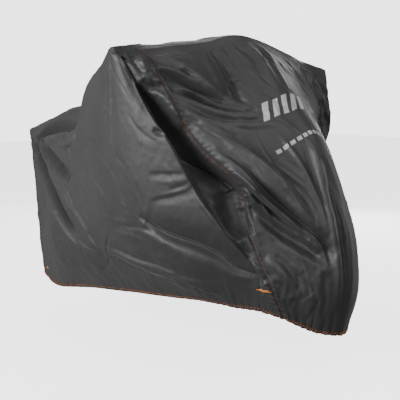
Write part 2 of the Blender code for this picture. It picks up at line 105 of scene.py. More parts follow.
# name, columns to the next rib, then (level, x, y, z) for each point that shapes the rib, in millimetres
# from the point under the rear wheel. Between these points a rib is a curve.
RIBS = (
    ("rear_seam_right", 2, ((0, -160, -150, 885), (1, -150, -158, 840), (3, -135, -160, 620),
        (5, -100, -158, 360), (7, -30, -175, 165))),
    ("haunch", 2, ((0, 20, -180, 965), (1, 50, -235, 885), (4, 90, -255, 560), (6, 120, -255, 290),
        (7, 150, -250, 165))),
    ("pannier", 2, ((0, 200, -200, 1018), (1, 300, -315, 905), (4, 320, -360, 580), (6, 340, -335, 320),
        (7, 370, -300, 190))),
    ("seat", 3, ((0, 400, -210, 1050), (1, 530, -370, 930), (4, 560, -415, 600), (6, 580, -380, 350),
        (7, 610, -335, 225))),
    ("tank", 3, ((0, 620, -240, 1100), (1, 610, -358, 1118), (2, 660, -405, 960), (4, 770, -440, 620),
        (6, 800, -390, 360), (7, 830, -345, 246))),
    ("fan_rear", 3, ((0, 800, -280, 1180), (1, 800, -445, 1180), (2, 850, -475, 1010), (4, 940, -475, 660),
        (6, 1000, -405, 380), (7, 1030, -342, 262))),
    ("fan_middle", 4, ((0, 920, -320, 1285), (1, 975, -520, 1226), (2, 1010, -525, 1070), (4, 1090, -495, 700),
        (6, 1170, -410, 400), (7, 1210, -330, 276))),
    ("bar_end_right", 4, ((0, 1020, -360, 1316), (1, 1118, -570, 1295), (2, 1150, -553, 1130),
        (4, 1240, -500, 740), (6, 1340, -395, 420), (7, 1390, -300, 288))),
    ("crest_right", 4, ((0, 1085, -400, 1306), (1, 1150, -572, 1275), (2, 1255, -525, 1080),
        (3, 1369, -480, 930), (4, 1463, -430, 744), (5, 1560, -378, 610), (6, 1620, -285, 455),
        (7, 1600, -235, 289))),
    ("front_seam_right", 3, ((0, 1128, -430, 1290), (1, 1235, -440, 1215), (2, 1305, -430, 1118),
        (3, 1395, -390, 960), (4, 1575, -325, 795), (5, 1600, -292, 610), (6, 1675, -260, 430),
        (7, 1697, -190, 264))),
    ("cheek_right", 3, ((0, 1152, -250, 1308), (1, 1290, -275, 1215), (2, 1415, -265, 1090),
        (3, 1540, -215, 940), (4, 1680, -195, 760), (5, 1745, -190, 580), (6, 1765, -180, 400),
        (7, 1735, -140, 235))),
    ("nose_right", 3, ((0, 1165, -100, 1325), (1, 1330, -105, 1245), (2, 1490, -110, 1120),
        (3, 1670, -85, 950), (4, 1765, -90, 760), (5, 1838, -100, 575), (6, 1855, -105, 380),
        (7, 1780, -85, 210))),
    ("nose", 2, ((0, 1195, 20, 1356), (1, 1365, 10, 1255), (2, 1530, 0, 1120), (3, 1712, 0, 930),
        (4, 1795, 0, 750), (5, 1868, 0, 560), (6, 1878, 0, 365), (7, 1825, 0, 200))),
    ("nose_left", 2, ((0, 1190, 150, 1338), (1, 1320, 160, 1235), (2, 1440, 170, 1100), (3, 1580, 150, 930),
        (4, 1700, 120, 750), (5, 1790, 100, 560), (6, 1810, 100, 365), (7, 1765, 90, 205))),
    ("cheek_left", 3, ((0, 1175, 320, 1292), (1, 1245, 340, 1200), (2, 1320, 350, 1080), (3, 1390, 310, 930),
        (4, 1530, 240, 760), (5, 1650, 200, 580), (6, 1710, 170, 390), (7, 1700, 135, 225))),
    ("front_seam_left", 4, ((0, 1140, 430, 1268), (1, 1195, 465, 1185), (2, 1245, 465, 1070),
        (3, 1285, 435, 940), (4, 1390, 350, 790), (5, 1520, 290, 600), (6, 1620, 245, 420),
        (7, 1665, 180, 255))),
    ("crest_left", 4, ((0, 1090, 460, 1272), (1, 1165, 597, 1218), (2, 1270, 515, 1060), (3, 1295, 498, 955),
        (4, 1300, 455, 800), (5, 1430, 385, 600), (6, 1550, 290, 430), (7, 1570, 230, 278))),
    ("bar_end_left", 4, ((0, 1030, 400, 1270), (1, 1120, 585, 1225), (2, 1135, 555, 1070), (4, 1200, 490, 700),
        (6, 1310, 385, 410), (7, 1360, 300, 283))),
    ("fan_middle_left", 3, ((0, 930, 340, 1240), (1, 975, 520, 1160), (2, 1010, 520, 1010),
        (4, 1080, 485, 670), (6, 1160, 405, 390), (7, 1200, 330, 272))),
    ("fan_rear_left", 3, ((0, 800, 280, 1155), (1, 800, 445, 1125), (2, 850, 470, 960), (4, 940, 470, 640),
        (6, 1000, 400, 370), (7, 1030, 342, 260))),
    ("tank_left", 3, ((0, 620, 240, 1090), (1, 610, 355, 1075), (2, 660, 400, 930), (4, 770, 435, 610),
        (6, 800, 385, 355), (7, 830, 345, 244))),
    ("seat_left", 2, ((0, 400, 210, 1045), (1, 530, 365, 915), (4, 560, 405, 590), (6, 580, 375, 345),
        (7, 610, 335, 223))),
    ("pannier_left", 2, ((0, 200, 200, 1015), (1, 300, 310, 895), (4, 320, 350, 575), (6, 340, 330, 315),
        (7, 370, 300, 188))),
    ("haunch_left", 2, ((0, 20, 180, 962), (1, 50, 230, 880), (4, 90, 250, 555), (6, 120, 250, 285),
        (7, 150, 250, 165))),
    ("rear_seam_left", 5, ((0, -160, 150, 885), (1, -150, 158, 840), (3, -135, 160, 620), (5, -100, 158, 360),
        (7, -30, 175, 165))),
    ("tail_left", 6, ((0, -380, 60, 920), (1, -375, 70, 860), (3, -340, 70, 620), (5, -310, 70, 380),
        (7, -220, 80, 190))),
    ("tail_right", 5, ((0, -360, -60, 918), (1, -330, -65, 860), (3, -275, -70, 620), (5, -250, -70, 380),
        (7, -170, -90, 175))),
)
# the saddle's height along its middle, rear to front: x, z, in millimetres
SADDLE = (
    (-370, 925), (-150, 965), (50, 1035), (300, 1072), (520, 1088), (700, 1125), (840, 1205), (940, 1305),
    (1000, 1350), (1100, 1356), (1195, 1356),
)
print(len(RIBS), "ribs")

# %% [markdown]
# ## Curves through the ribs
#
# The cloth runs smoothly from rib to rib, except over the bar ends and along the shoulder just under the top
# seam, where it turns along an edge. So a curve through its knots has the mean of its neighbours' slopes at
# each knot, and at a sharp knot it keeps both slopes.

# %% A curve that may turn sharply
def spline(knots, values, places, sharp=()):
    """Values at the places, on a smooth curve through the knots that may turn sharply at some of them."""
    knots, values, places = (np.asarray(x, float) for x in (knots, values, places))
    rise = np.diff(values, axis=0) / np.diff(knots)[:, None]
    before, after = np.concatenate([rise[:1], rise]), np.concatenate([rise, rise[-1:]])
    mean = 0.5 * (before + after)
    turn = np.isin(np.arange(len(knots)), sharp)[:, None]
    leaving, reaching = np.where(turn, after, mean), np.where(turn, before, mean)
    i = np.clip(np.searchsorted(knots, places, side="right") - 1, 0, len(knots) - 2)
    step = (knots[i + 1] - knots[i])[:, None]
    t = ((places - knots[i]) / (knots[i + 1] - knots[i]))[:, None]
    return (
        (1 + 2 * t) * (1 - t) ** 2 * values[i]
        + t * (1 - t) ** 2 * step * leaving[i]
        + t**2 * (3 - 2 * t) * values[i + 1]
        + t**2 * (t - 1) * step * reaching[i + 1]
    )


print("half-way up a step:", spline((0, 1), ((0,), (1,)), (0.5,))[0, 0])

# %% Points of the skin
RIB_NAMES = [rib[0] for rib in RIBS]
RIB_COLUMNS = np.concatenate([[0], np.cumsum([rib[1] for rib in RIBS])]).astype(float)
SHARP_RIBS = ("crest_right", "crest_left")
SHARP_LEVEL, LAST_LEVEL = 1, len(LEVELS) - 1


def rib_curves():
    """Each rib's points at all the levels, in the frame."""
    ribs = []
    for _, _, points in RIBS:
        levels, places = [LEVELS[row[0]] for row in points], [row[1:] for row in points]
        sharp = [k for k, row in enumerate(points) if row[0] == SHARP_LEVEL]
        ribs.append(spline(levels, places, LEVELS, sharp))
    return np.array(ribs) * MM - np.array(MACHINE)


RIB_POINTS = rib_curves()


def ring(ribs, levels):
    """The skin's points, an array of ribs by levels. The ring of panels closes on itself."""
    count = len(RIBS)
    total = RIB_COLUMNS[-1]
    knots = np.concatenate([RIB_COLUMNS[-3:-1] - total, RIB_COLUMNS, RIB_COLUMNS[1:3] + total])
    order = np.arange(-2, count + 3) % count
    sharp = [k for k, rib in enumerate(order) if RIB_NAMES[rib] in SHARP_RIBS]
    where = np.interp(np.mod(ribs, count), np.arange(count + 1), RIB_COLUMNS)
    across = spline(knots, RIB_POINTS[order].reshape(len(order), -1), where, sharp)
    across = across.reshape(len(where), len(LEVELS), 3)
    down = np.interp(levels, np.arange(len(LEVELS)), LEVELS)
    flat = across.transpose(1, 0, 2).reshape(len(LEVELS), -1)
    surface = spline(LEVELS, flat, down, (SHARP_LEVEL,))
    return surface.reshape(len(down), len(where), 3).transpose(1, 0, 2)


skin_size = np.ptp(ring(np.arange(len(RIBS)), np.arange(len(LEVELS))).reshape(-1, 3), axis=0)
print("the skin is", np.round(skin_size, 3), "m")

# %% Directions on the skin
def unit(vectors):
    return vectors / np.maximum(np.linalg.norm(vectors, axis=-1, keepdims=True), 1e-12)


def ring_normals(ribs, levels, step=0.02):
    """The skin's outward directions at the same places."""
    ribs, levels = np.asarray(ribs, float), np.asarray(levels, float)
    forward = ring(ribs + step, levels) - ring(ribs - step, levels)
    down = ring(ribs, np.minimum(levels + step, LAST_LEVEL)) - ring(ribs, np.maximum(levels - step, 0))
    return unit(np.cross(down, forward))


def on_skin(places):
    """Points of the skin at a list of (rib, level) places."""
    ribs, levels = np.asarray(places, float).T
    return ring(ribs, levels)[np.arange(len(ribs)), np.arange(len(ribs))]


print("half-way down the right side it faces", np.round(ring_normals([4.0], [4.0])[0, 0], 2))

# %% [markdown]
# ## Folds
#
# A fold is a soft ridge or trough along a line on the skin. Its two sides may differ: where cloth is pulled
# over an edge, one side is long and the other drops at once, and the eye reads that as a crease. A cloth
# simulation finds folds of its own, and here each has its place, so they are laid one by one. Most of the main
# folds are those of the packed model. The gully beside the front seam, the wedge at the tail and the tuck
# at the hem are shaped more finely than its solids could be.

# %% The main folds
GULLY_START, GULLY_FADE = 7.97, 0.13  # in ribs: it begins at the crest's edge, and is full this far on
# each fold: height (out is positive) and widths to the left and right of its line as walked, in millimetres,
# then the line's (rib, level) places. The first is the gully.
FOLDS = (
    # the gully
    (-130, 44, 70, ((8.14, 1.6), (8.28, 2.2), (8.42, 2.75), (8.54, 3.2), (8.64, 3.7), (8.74, 4.2), (8.8, 4.7),
        (8.84, 5.2))),
    # ridges and a trough from the bar end
    (7, 90, 45, ((5.2, 4.4), (6.9, 5), (7.4, 5.6), (7.9, 6.3))),
    (-20, 70, 30, ((6.6, 4.7), (7.4, 5.3), (7.9, 5.9), (8.4, 6.3))),
    (8, 90, 45, ((3.2, 4.9), (4.9, 5.5), (6.6, 6.1), (7.6, 6.8))),
    # the wedge at the tail and the tuck at the hem
    (-6, 100, 50, ((0.2, 1), (0.8, 2.2), (1.9, 3.4), (2.6, 4.3), (3.3, 5.2))),
    (-28, 140, 100, ((-0.8, 7), (1, 7), (3, 7), (5, 7), (7.5, 7))),
    # brow and screen
    (18, 55, 60, ((9.2, 0.4), (9.8, 1.3), (10.2, 1.8))),
    (-20, 60, 60, ((9.05, 1), (9.7, 1.7), (10.4, 2.2))),
    (-18, 55, 55, ((10.7, 0.3), (10.5, 1.3), (10.5, 2.4))),
    # apron
    (26, 70, 60, ((9.2, 2.8), (9.8, 3.6), (10.2, 4.2), (10.8, 5.2))),
    (-24, 60, 60, ((9.2, 4.3), (9.7, 4.8), (10.4, 5.1), (11, 5.4))),
    # the left side, as the right
    (-16, 60, 60, ((15.4, 2.4), (15.4, 3.4), (15.4, 4.6))),
    (22, 60, 60, ((14.6, 2.6), (14.1, 3.6), (13.6, 4.6), (13.2, 5.4))),
    (20, 70, 60, ((19.2, 4.3), (17.6, 4.9), (16.8, 5.5), (16.1, 6.3))),
    (20, 70, 60, ((21, 4.8), (19.3, 5.5), (17.6, 6.1), (16.6, 6.8))),
    (18, 65, 60, ((17, 1.4), (17.8, 3.2), (18.6, 4.6))),
    (-30, 65, 55, ((23.7, 1.2), (23, 2.4), (22, 3.6), (21.1, 4.9))),
)
print(len(FOLDS), "main folds")

# %% [markdown]
# ## Creases
#
# Between the main folds the cloth is full of creases, too narrow for the packed model's solids. They are
# laid in the same way. On the right side they are the edges of the ridges that fan out from the bar end, two
# folds that fall from the tail, the pocket under the seat's edge, and straight lines from when the cover
# lay folded.

# %% Creases of the right side
RIGHT_CREASES = (
    # edges of the ridges that fan out from the bar end
    (-24, 16, 9, ((6.5, 4.5), (6.98, 4.98), (7.38, 5.35), (7.62, 5.68), (7.83, 6.05), (8.45, 6.33))),
    (3, 12, 34, ((4.4, 4.3), (5.48, 4.5), (6.93, 5.1), (7.2, 5.45), (7.4, 5.74), (7.8, 6.24))),
    (3, 14, 34, ((3.2, 4.95), (4.42, 5.3), (5.1, 5.55), (5.95, 5.9), (6.88, 6.15), (7.53, 6.8))),
    (-8, 22, 12, ((4.6, 5.15), (5.6, 5.6), (6.5, 5.85), (7.2, 6.25))),
    # falling from the tail
    (-100, 26, 28, ((-0.5, 0.25), (0.25, 1.4), (0.8, 2.25), (1.98, 3.38), (2.55, 4.28), (3.2, 5.15))),
    (4, 18, 30, ((-0.35, 0.75), (0.35, 2.1), (1.45, 3.35), (2.15, 4.25), (2.95, 5.2))),
    (-54, 20, 26, ((0.45, 0.75), (1.35, 1.6), (2.12, 2.15), (3.08, 2.88))),
    (8, 18, 30, ((0.75, 1.6), (1.7, 2.6), (2.55, 3.4), (3.25, 4.2), (3.9, 5.1))),
    (-4, 8, 8, ((1.15, 2.25), (1, 2.7), (1.25, 3.3))),
    # round the knot where two ridges meet
    (7, 12, 20, ((3.05, 5.1), (3.55, 5.36), (4.05, 5.55))),
    (-6, 10, 10, ((4.35, 5.5), (4, 5.15), (3.7, 4.7))),
    (-5, 9, 9, ((4.35, 5.5), (4.5, 5.1), (4.75, 4.8))),
    (-6, 10, 10, ((4.35, 5.5), (4.85, 5.62), (5.4, 5.95))),
    (-5, 10, 10, ((4.35, 5.5), (4.15, 5.85), (3.75, 6.15))),
    # from lying folded
    (3, 7, 7, ((6.85, 0.6), (6.55, 1.6), (6.18, 2.4), (5.8, 3.1), (5.5, 3.53))),
    (2.5, 12, 12, ((6.35, 1.2), (5.95, 2.1), (5.45, 3.1))),
    # nicks in the crest's edge
    (-5, 8, 20, ((7.2, 3.66), (7.6, 3.64), (8.02, 3.6))),
    (-4, 8, 18, ((7.5, 3.98), (7.75, 3.88), (8.02, 3.76))),
    (-5, 8, 22, ((7.05, 4.25), (7.5, 4.12), (7.8, 4), (8.02, 3.86))),
    (2, 10, 12, ((7.35, 3.82), (7.7, 3.76), (8, 3.68))),
    (2, 10, 12, ((7.3, 4.12), (7.65, 3.99), (7.98, 3.82))),
    (-12, 12, 12, ((7.75, 2.72), (7.9, 2.78), (8.05, 2.8))),
    # at the waist
    (4.5, 12, 22, ((4.9, 4.75), (5.9, 4.95), (6.7, 5.3))),
    (-4.5, 14, 10, ((5.2, 4.6), (6.2, 4.75), (7, 5))),
    # the pocket under the seat
    (-75, 24, 32, ((0.1, 0.4), (1, 0.42), (2, 0.5), (3.3, 0.6))),
    (13, 12, 18, ((0.45, 0.98), (1.15, 1.18), (1.85, 1.04), (2.6, 1.28), (3.3, 1.1))),
    (-7, 16, 10, ((1.2, 0.55), (2.1, 0.62), (3.1, 0.8))),
    (-6, 12, 10, ((1, 1.05), (1.8, 1.15), (2.6, 1.35))),
    (6, 10, 12, ((2.2, 1.25), (2.6, 1.4), (3.2, 1.3))),
    # low down
    (6, 12, 20, ((5.8, 5.95), (6.6, 6.2), (7.3, 6.6))),
    (-5, 10, 10, ((6, 6.15), (6.8, 6.45), (7.4, 6.85))),
)
print(len(RIGHT_CREASES), "creases on the right side")

# %% [markdown]
# Between the crest, which hangs from the bar end, and the front seam the cloth falls into the gully. Short
# folds cross its top, and more stand beside the seam, where the stitches hold it back.

# %% Creases beside the gully
GULLY_CREASES = (
    # the gully's top and foot
    (-10, 12, 20, ((8, 3.8), (8.14, 4), (8.6, 4.3), (9, 4.3))),
    (6, 14, 14, ((8.3, 4.5), (8.45, 5), (8.6, 5.6))),
    (-24, 13, 34, ((8.1, 0.75), (8.15, 1.3), (8.25, 1.9), (8.42, 2.5), (8.6, 3))),
    # in the strip beside the seam
    (20, 12, 14, ((8.5, 0.62), (8.66, 0.95), (8.72, 1.3))),
    (-12, 10, 12, ((8.22, 0.8), (8.45, 0.92), (8.6, 1.3))),
    (14, 12, 14, ((8.55, 1.35), (8.75, 1.55), (8.95, 1.62))),
    (22, 20, 20, ((8.72, 1.75), (8.86, 2.25), (8.92, 2.8))),
    (-10, 10, 12, ((8.72, 1.45), (8.82, 1.8), (8.95, 2.05))),
    (-8, 8, 10, ((8.45, 1.55), (8.7, 1.7), (8.98, 1.8))),
    # over the bar end
    (-10, 10, 10, ((8.08, 0.62), (8.3, 0.72), (8.6, 0.7))),
    (-9, 10, 10, ((8.1, 0.95), (8.3, 1.05), (8.5, 0.98))),
    (8, 10, 10, ((8.06, 0.8), (8.3, 0.88), (8.55, 0.84))),
    # above the lock hole
    (8.4, 12, 14, ((8.82, 5.05), (8.96, 5.5), (9.1, 5.95))),
    (-7.2, 10, 12, ((8.7, 5.3), (8.84, 5.7), (9, 6.1))),
    (6, 12, 12, ((8.6, 5.55), (8.78, 5.95), (8.98, 6.35))),
    # along the crest
    (7, 6, 12, ((8, 3.9), (8, 4.6), (8, 5.3), (8.03, 6))),
    (-9, 9, 9, ((8.09, 4.2), (8.12, 5), (8.12, 5.95))),
    # across the foot
    (3, 8, 9, ((8.3, 5.9), (8.52, 5.8), (8.8, 5.95))),
    (-4.8, 8, 8, ((8.25, 6.12), (8.5, 6.02), (8.78, 6.18))),
    (3, 7, 9, ((8.62, 4.9), (8.78, 5.15), (8.92, 5.12))),
)
print(len(GULLY_CREASES), "creases beside the gully")

# %% [markdown]
# The front panel is drawn back over the screen and the lamp from both bar ends, so its creases run from the
# seams towards the middle. Under them it hangs as an apron with long curved folds. Upright folds stand where
# it bends round the nose, and the chin crumples above the hem.

# %% Creases of the front panel
FRONT_CREASES = (
    # crumples above the lock hole's level
    (2.6, 9, 7, ((9.25, 6.55), (9.55, 6.2), (9.7, 5.8))),
    (-2.6, 8, 8, ((9.55, 6.65), (9.85, 6.25), (10.02, 5.9))),
    (2.4, 8, 9, ((10, 6.62), (10.18, 6.3), (10.42, 6.15), (10.6, 6.3))),
    (-2.2, 7, 9, ((10.3, 6.75), (10.55, 6.45), (10.7, 6.05))),
    (2.2, 8, 8, ((9.15, 6.15), (9.3, 5.95), (9.55, 5.98))),
    # brow: from the seam over the screen
    (18, 16, 10, ((9.05, 0.45), (9.4, 0.72), (9.83, 1.32), (10.1, 1.75))),
    (13, 13, 10, ((9.05, 0.95), (9.45, 1.15), (9.85, 1.5))),
    (-22, 13, 10, ((9.02, 1.15), (9.35, 1.38), (9.75, 1.7), (10.2, 2.02))),
    (-15, 9, 9, ((9.1, 0.72), (9.45, 0.98), (9.8, 1.42))),
    # cheek: under the brow
    (-20, 15, 9, ((9.1, 1.8), (9.3, 1.9), (9.62, 2.05), (9.83, 2.18), (10.3, 2.32), (10.9, 2.35))),
    (15, 11, 18, ((9.1, 2), (9.45, 2.18), (9.9, 2.34), (10.6, 2.46))),
    (12, 11, 18, ((9.2, 2.42), (9.62, 2.62), (10.6, 2.68), (10.95, 2.86))),
    (-7, 10, 8, ((9.4, 2.46), (9.9, 2.54), (10.6, 2.58))),
    # beside the screen
    (-18, 15, 10, ((10.75, 0.4), (10.66, 0.9), (10.56, 1.45), (10.46, 1.95), (10.58, 2.3))),
    (9, 14, 18, ((10.35, 0.6), (10.3, 1.2), (10.22, 1.7))),
    (-6, 9, 9, ((11.15, 0.25), (11.08, 0.6), (11, 0.95))),
    # over the screen
    (6, 22, 18, ((12.1, 0.25), (12, 0.8), (11.83, 1.25), (11.62, 1.95))),
    (5, 20, 18, ((12.75, 0.2), (12.55, 0.8), (12.3, 1.3), (11.95, 1.95))),
    (-5, 18, 16, ((12.4, 0.3), (12.25, 0.9), (12.05, 1.4), (11.8, 1.95))),
    (-8, 20, 18, ((11.72, 0.4), (11.6, 0.95), (11.45, 1.5))),
    # apron
    (18, 30, 12, ((9.15, 2.75), (9.58, 3.3), (9.83, 3.62), (10.2, 4.1), (10.68, 5))),
    (-30, 13, 10, ((9.25, 3.3), (9.43, 3.62), (9.62, 4.1), (10.28, 4.65), (10.88, 5.08), (11, 5.5))),
    (20, 10, 12, ((9.05, 3.7), (9.3, 4.14), (9.73, 4.48), (10.23, 4.85), (10.8, 5.38))),
    (-24, 10, 10, ((9.1, 4.05), (9.32, 4.3), (9.88, 4.7), (10.4, 5))),
    (-22, 30, 18, ((9.15, 4.55), (9.65, 4.95), (10.15, 5.15), (10.83, 5.4))),
    (12, 13, 22, ((9.2, 4.75), (9.7, 5.15), (10.3, 5.38), (10.9, 5.65))),
    # pulls at the seam
    (-12, 9, 9, ((9.02, 4.1), (9.14, 4.45), (9.2, 4.85))),
    (8, 9, 9, ((9.04, 4.55), (9.16, 4.95), (9.24, 5.3))),
    # the bend round the nose
    (9, 7, 11, ((10.6, 3.1), (10.73, 3.43), (10.88, 3.93), (10.95, 4.3), (11, 4.9))),
    (5, 8, 11, ((10.72, 3.4), (10.62, 3.15), (10.55, 2.9))),
    (-6, 22, 14, ((10.95, 3.15), (11.02, 3.7), (11.02, 4.4))),
    # upright folds down the nose
    (16, 24, 16, ((11.2, 3), (11.24, 3.9), (11.2, 4.6), (11.22, 5.2), (11.3, 6.3))),
    (-14, 14, 14, ((11.55, 3.3), (11.5, 4.3), (11.48, 5.2), (11.52, 6.2))),
    (10, 18, 18, ((11.9, 3.6), (11.78, 4.5), (11.74, 5.2), (11.75, 6.3))),
    # chin, above the hem
    (14, 22, 16, ((9.25, 5.55), (9.7, 5.85), (10.2, 6.2))),
    (-12, 16, 14, ((9.5, 5.45), (9.95, 5.8), (10.45, 6.1))),
    (7, 18, 22, ((10.1, 5.75), (10.3, 6.2), (10.35, 6.7))),
    (-6, 12, 14, ((10.75, 5.6), (10.85, 6.1), (10.95, 6.7))),
    (5, 12, 14, ((9.35, 6.35), (9.75, 6.3), (10.05, 6.05))),
)
print(len(FRONT_CREASES), "creases on the front panel")

# %% [markdown]
# The left side hangs as the right one does, and wide soft folds run down the back strip.

# %% Creases of the left side and the back
LEFT_CREASES = (
    # round the left bar end
    (-18, 12, 12, ((15.05, 0.55), (15.45, 1.15), (15.9, 1.85))),
    (14, 14, 14, ((14.7, 0.55), (15.1, 1.15), (15.6, 1.95))),
    (-11.2, 12, 12, ((14.4, 0.6), (14.7, 1.3), (15.2, 2.1))),
    # the left side's fan, tail and middle
    (12, 34, 12, ((20, 4.1), (18.8, 4.4), (17.4, 4.95), (16.7, 5.5), (16.2, 6.2))),
    (-14, 12, 20, ((18.2, 4.3), (17.2, 4.75), (16.5, 5.3), (16, 6))),
    (10, 34, 14, ((21.4, 4.7), (19.8, 5.2), (18.4, 5.8), (17, 6.5))),
    (-16, 18, 40, ((24.2, 0.8), (23.3, 2.2), (22.3, 3.4), (21.4, 4.8))),
    (9, 20, 18, ((24.5, 1.4), (23.7, 2.7), (22.7, 3.8), (21.8, 5.1))),
    (3.5, 10, 10, ((17.3, 0.9), (18, 2.2), (18.9, 3.6))),
    (-9, 14, 18, ((16.2, 3.2), (17, 3.6), (17.9, 3.9))),
    (8, 14, 20, ((16.1, 3.9), (17, 4.2), (17.8, 4.4))),
    # down the back strip
    (-14, 24, 18, ((24.6, 0.5), (25.1, 2), (25.5, 3.6), (25.7, 5.2))),
    (12, 22, 24, ((25.3, 0.4), (25.6, 1.8), (26, 3.2), (26.2, 5))),
    (-12, 20, 18, ((26.2, 1.2), (26.5, 2.6), (26.4, 4.2), (26.1, 5.6))),
    (9, 16, 18, ((24.8, 3.2), (25.2, 4.6), (25.3, 6))),
)
CREASES = RIGHT_CREASES + GULLY_CREASES + FRONT_CREASES + LEFT_CREASES
print(len(CREASES), "creases in all")

# %% How a fold moves the cloth
FOLD_REACH = 2.4  # widths from its line, past which a fold isn't felt
FOLD_ENDS = 0.6  # the smaller, the more suddenly it ends


def walked_along(path):
    """The distance from a path's start to each of its points."""
    return np.concatenate([[0], np.cumsum(np.linalg.norm(np.diff(path, axis=0), axis=1))])


def fold_offset(points, normals, height, left, right, line):
    """How far one fold moves each point along its normal. It fades at its ends."""
    offset = np.zeros(len(points))
    starts, runs = line[:-1], np.diff(line, axis=0)
    lengths = np.maximum(np.linalg.norm(runs, axis=1), 1e-6)
    reach = FOLD_REACH * max(left, right)
    near = np.all((points > line.min(0) - reach) & (points < line.max(0) + reach), axis=1)
    if not near.any():
        return offset
    p, n = points[near], normals[near]
    share = np.clip(np.einsum("pkx,kx->pk", p[:, None] - starts, runs) / lengths**2, 0, 1)
    away = p[:, None] - (starts + share[..., None] * runs)
    distance = np.linalg.norm(away, axis=2)
    k, row = distance.argmin(axis=1), np.arange(len(p))
    side = np.einsum("px,px->p", np.cross(n, unit(runs)[k]), away[row, k])
    width = np.where(side > 0, left, right)
    walked = np.concatenate([[0], np.cumsum(lengths)])[k] + share[row, k] * lengths[k]
    fade = np.sin(np.pi * np.clip(walked / lengths.sum(), 0, 1)) ** FOLD_ENDS
    offset[near] = height * fade * np.exp(-((distance[row, k] / width) ** 2))
    return offset


def fold_lines(rows, each):
    """The rows in metres, each line a smooth curve on the skin with so many points for each place."""
    made = []
    for height, left, right, line in rows:
        knots = np.array(line, float)
        places = spline(np.arange(len(knots)), knots, np.linspace(0, len(knots) - 1, each * len(knots)))
        made.append((height * MM, left * MM, right * MM, on_skin(places)))
    return made


FOLD_LINES = fold_lines(FOLDS, 6) + fold_lines(CREASES, 4)
print("the gully is", round(float(walked_along(FOLD_LINES[0][3])[-1]), 2), "m long")

# %% [markdown]
# ## Rumples
#
# Cloth that has been packed away is never smooth. Two kinds of unevenness are added: short random creases
# along the pull of the cloth, and a field of low bumps. A bump in the material could do it, but its outline
# would stay smooth. Both come from seeded random numbers, so they are the same each time.

# %% Random creases
# each zone: how many, ribs, levels, run as (ribs, levels), its spread in radians, height and width in
# millimetres, seed
SCATTER = (
    (90, (0.3, 7.9), (0.5, 6.7), (0.75, 0.75), 0.54, 2.2, 9, 11),  # right side
    (26, (0.1, 3), (0.3, 5.5), (0.45, 1.1), 0.21, 3.8, 9, 12),  # under the tail
    (40, (8.2, 8.95), (0.8, 6.8), (0.22, 0.4), 0.48, 5, 9, 13),  # strip beside the seam
    (70, (9.15, 14.8), (0.3, 6.7), (0.35, 0.95), 0.42, 3.4, 8, 14),  # front
    (22, (9.1, 10.6), (0.5, 2.8), (0.6, 0.42), 0.21, 6, 10, 15),  # brow
    (20, (9.1, 10.9), (3, 6.2), (0.7, 0.85), 0.21, 5, 10, 16),  # apron
    (90, (15.2, 23.8), (0.4, 6.7), (-0.75, 0.75), 0.54, 3.6, 11, 17),  # left side
    (34, (24.2, 26.8), (0.4, 6.6), (0.2, 1.1), 0.36, 5, 12, 18),  # back
)
HALF_LENGTH = (0.25, 0.6)  # in runs: the least, and what chance adds
SKEW, BEND, ALL_LEVELS = 0.6, 0.10, (0.15, 6.95)


def scattered():
    """The random creases of all zones, as rows of the same kind as the others."""
    made = []
    for count, ribs, levels, run, spread, height, width, seed in SCATTER:
        chance = np.random.default_rng(seed)
        for _ in range(count):
            centre = np.array([chance.uniform(*ribs), chance.uniform(*levels)])
            turn = spread * chance.normal()
            size = HALF_LENGTH[0] + HALF_LENGTH[1] * chance.random() ** 2
            half = np.array([run[0] * math.cos(turn) - run[1] * math.sin(turn) * SKEW,
                             run[1] * math.cos(turn) + run[0] * math.sin(turn) * SKEW]) * size
            bend = np.array([-half[1], half[0]]) * chance.normal() * BEND
            line = np.array([centre - half, centre + bend, centre + half])
            line[:, 1] = np.clip(line[:, 1], *ALL_LEVELS)
            out = height * (0.4 + chance.random()) * chance.choice([-1.0, 1.0])
            made.append((out, *(width * (0.6 + 0.8 * chance.random(2))), line))
    return made


RANDOM_CREASES = scattered()
FOLD_LINES += fold_lines(RANDOM_CREASES, 4)
print(len(RANDOM_CREASES), "random creases in", len(SCATTER), "zones")

# %% Fields of bumps
# a corner and the size of a room that holds the cover, so that panels that meet get the same bumps
ROOM_CORNER, ROOM_SIZE = np.array((-1.6, -0.7, -1.3)), np.array((2.5, 1.4, 1.5))


def eased(share):
    return share * share * (3 - 2 * share)


def rumple(u, v, size_u, size_v, seed):
    """A smooth random field between about -1 and 1, with bumps of the given sizes in metres."""
    x, y = u / size_u, v / size_v
    x, y = x - x.min(), y - y.min()
    chance = np.random.default_rng(seed)
    lattice = chance.uniform(-1, 1, (int(x.max()) + 3, int(y.max()) + 3))
    i, j = x.astype(int), y.astype(int)
    fx, fy = eased(x - i), eased(y - j)
    top = lattice[i, j] * (1 - fx) + lattice[i + 1, j] * fx
    low = lattice[i, j + 1] * (1 - fx) + lattice[i + 1, j + 1] * fx
    return top * (1 - fy) + low * fy


def rumple_on_line(u, size, seed):
    return rumple(u, 0 * u, size, 1.0, seed)


def rumple_in(points, size, seed):
    """The same in space."""
    cells = (points - ROOM_CORNER) / np.array(size)
    low = cells.astype(int)
    f = eased(cells - low)
    lattice = np.random.default_rng(seed).uniform(-1, 1, tuple((ROOM_SIZE / size).astype(int) + 2))
    total = np.zeros(points.shape[:2])
    for corner in np.ndindex(2, 2, 2):
        weight = np.prod([f[..., k] if corner[k] else 1 - f[..., k] for k in range(3)], axis=0)
        total += weight * lattice[low[..., 0] + corner[0], low[..., 1] + corner[1], low[..., 2] + corner[2]]
    return total


def ridged(field):
    """The field made into sharp ridges, along the lines where it crosses zero."""
    return 1 - 2 * np.abs(field)


print("a field's values 5 cm apart:", np.round(rumple_on_line(np.arange(5) * 0.05, 0.06, 61), 2))

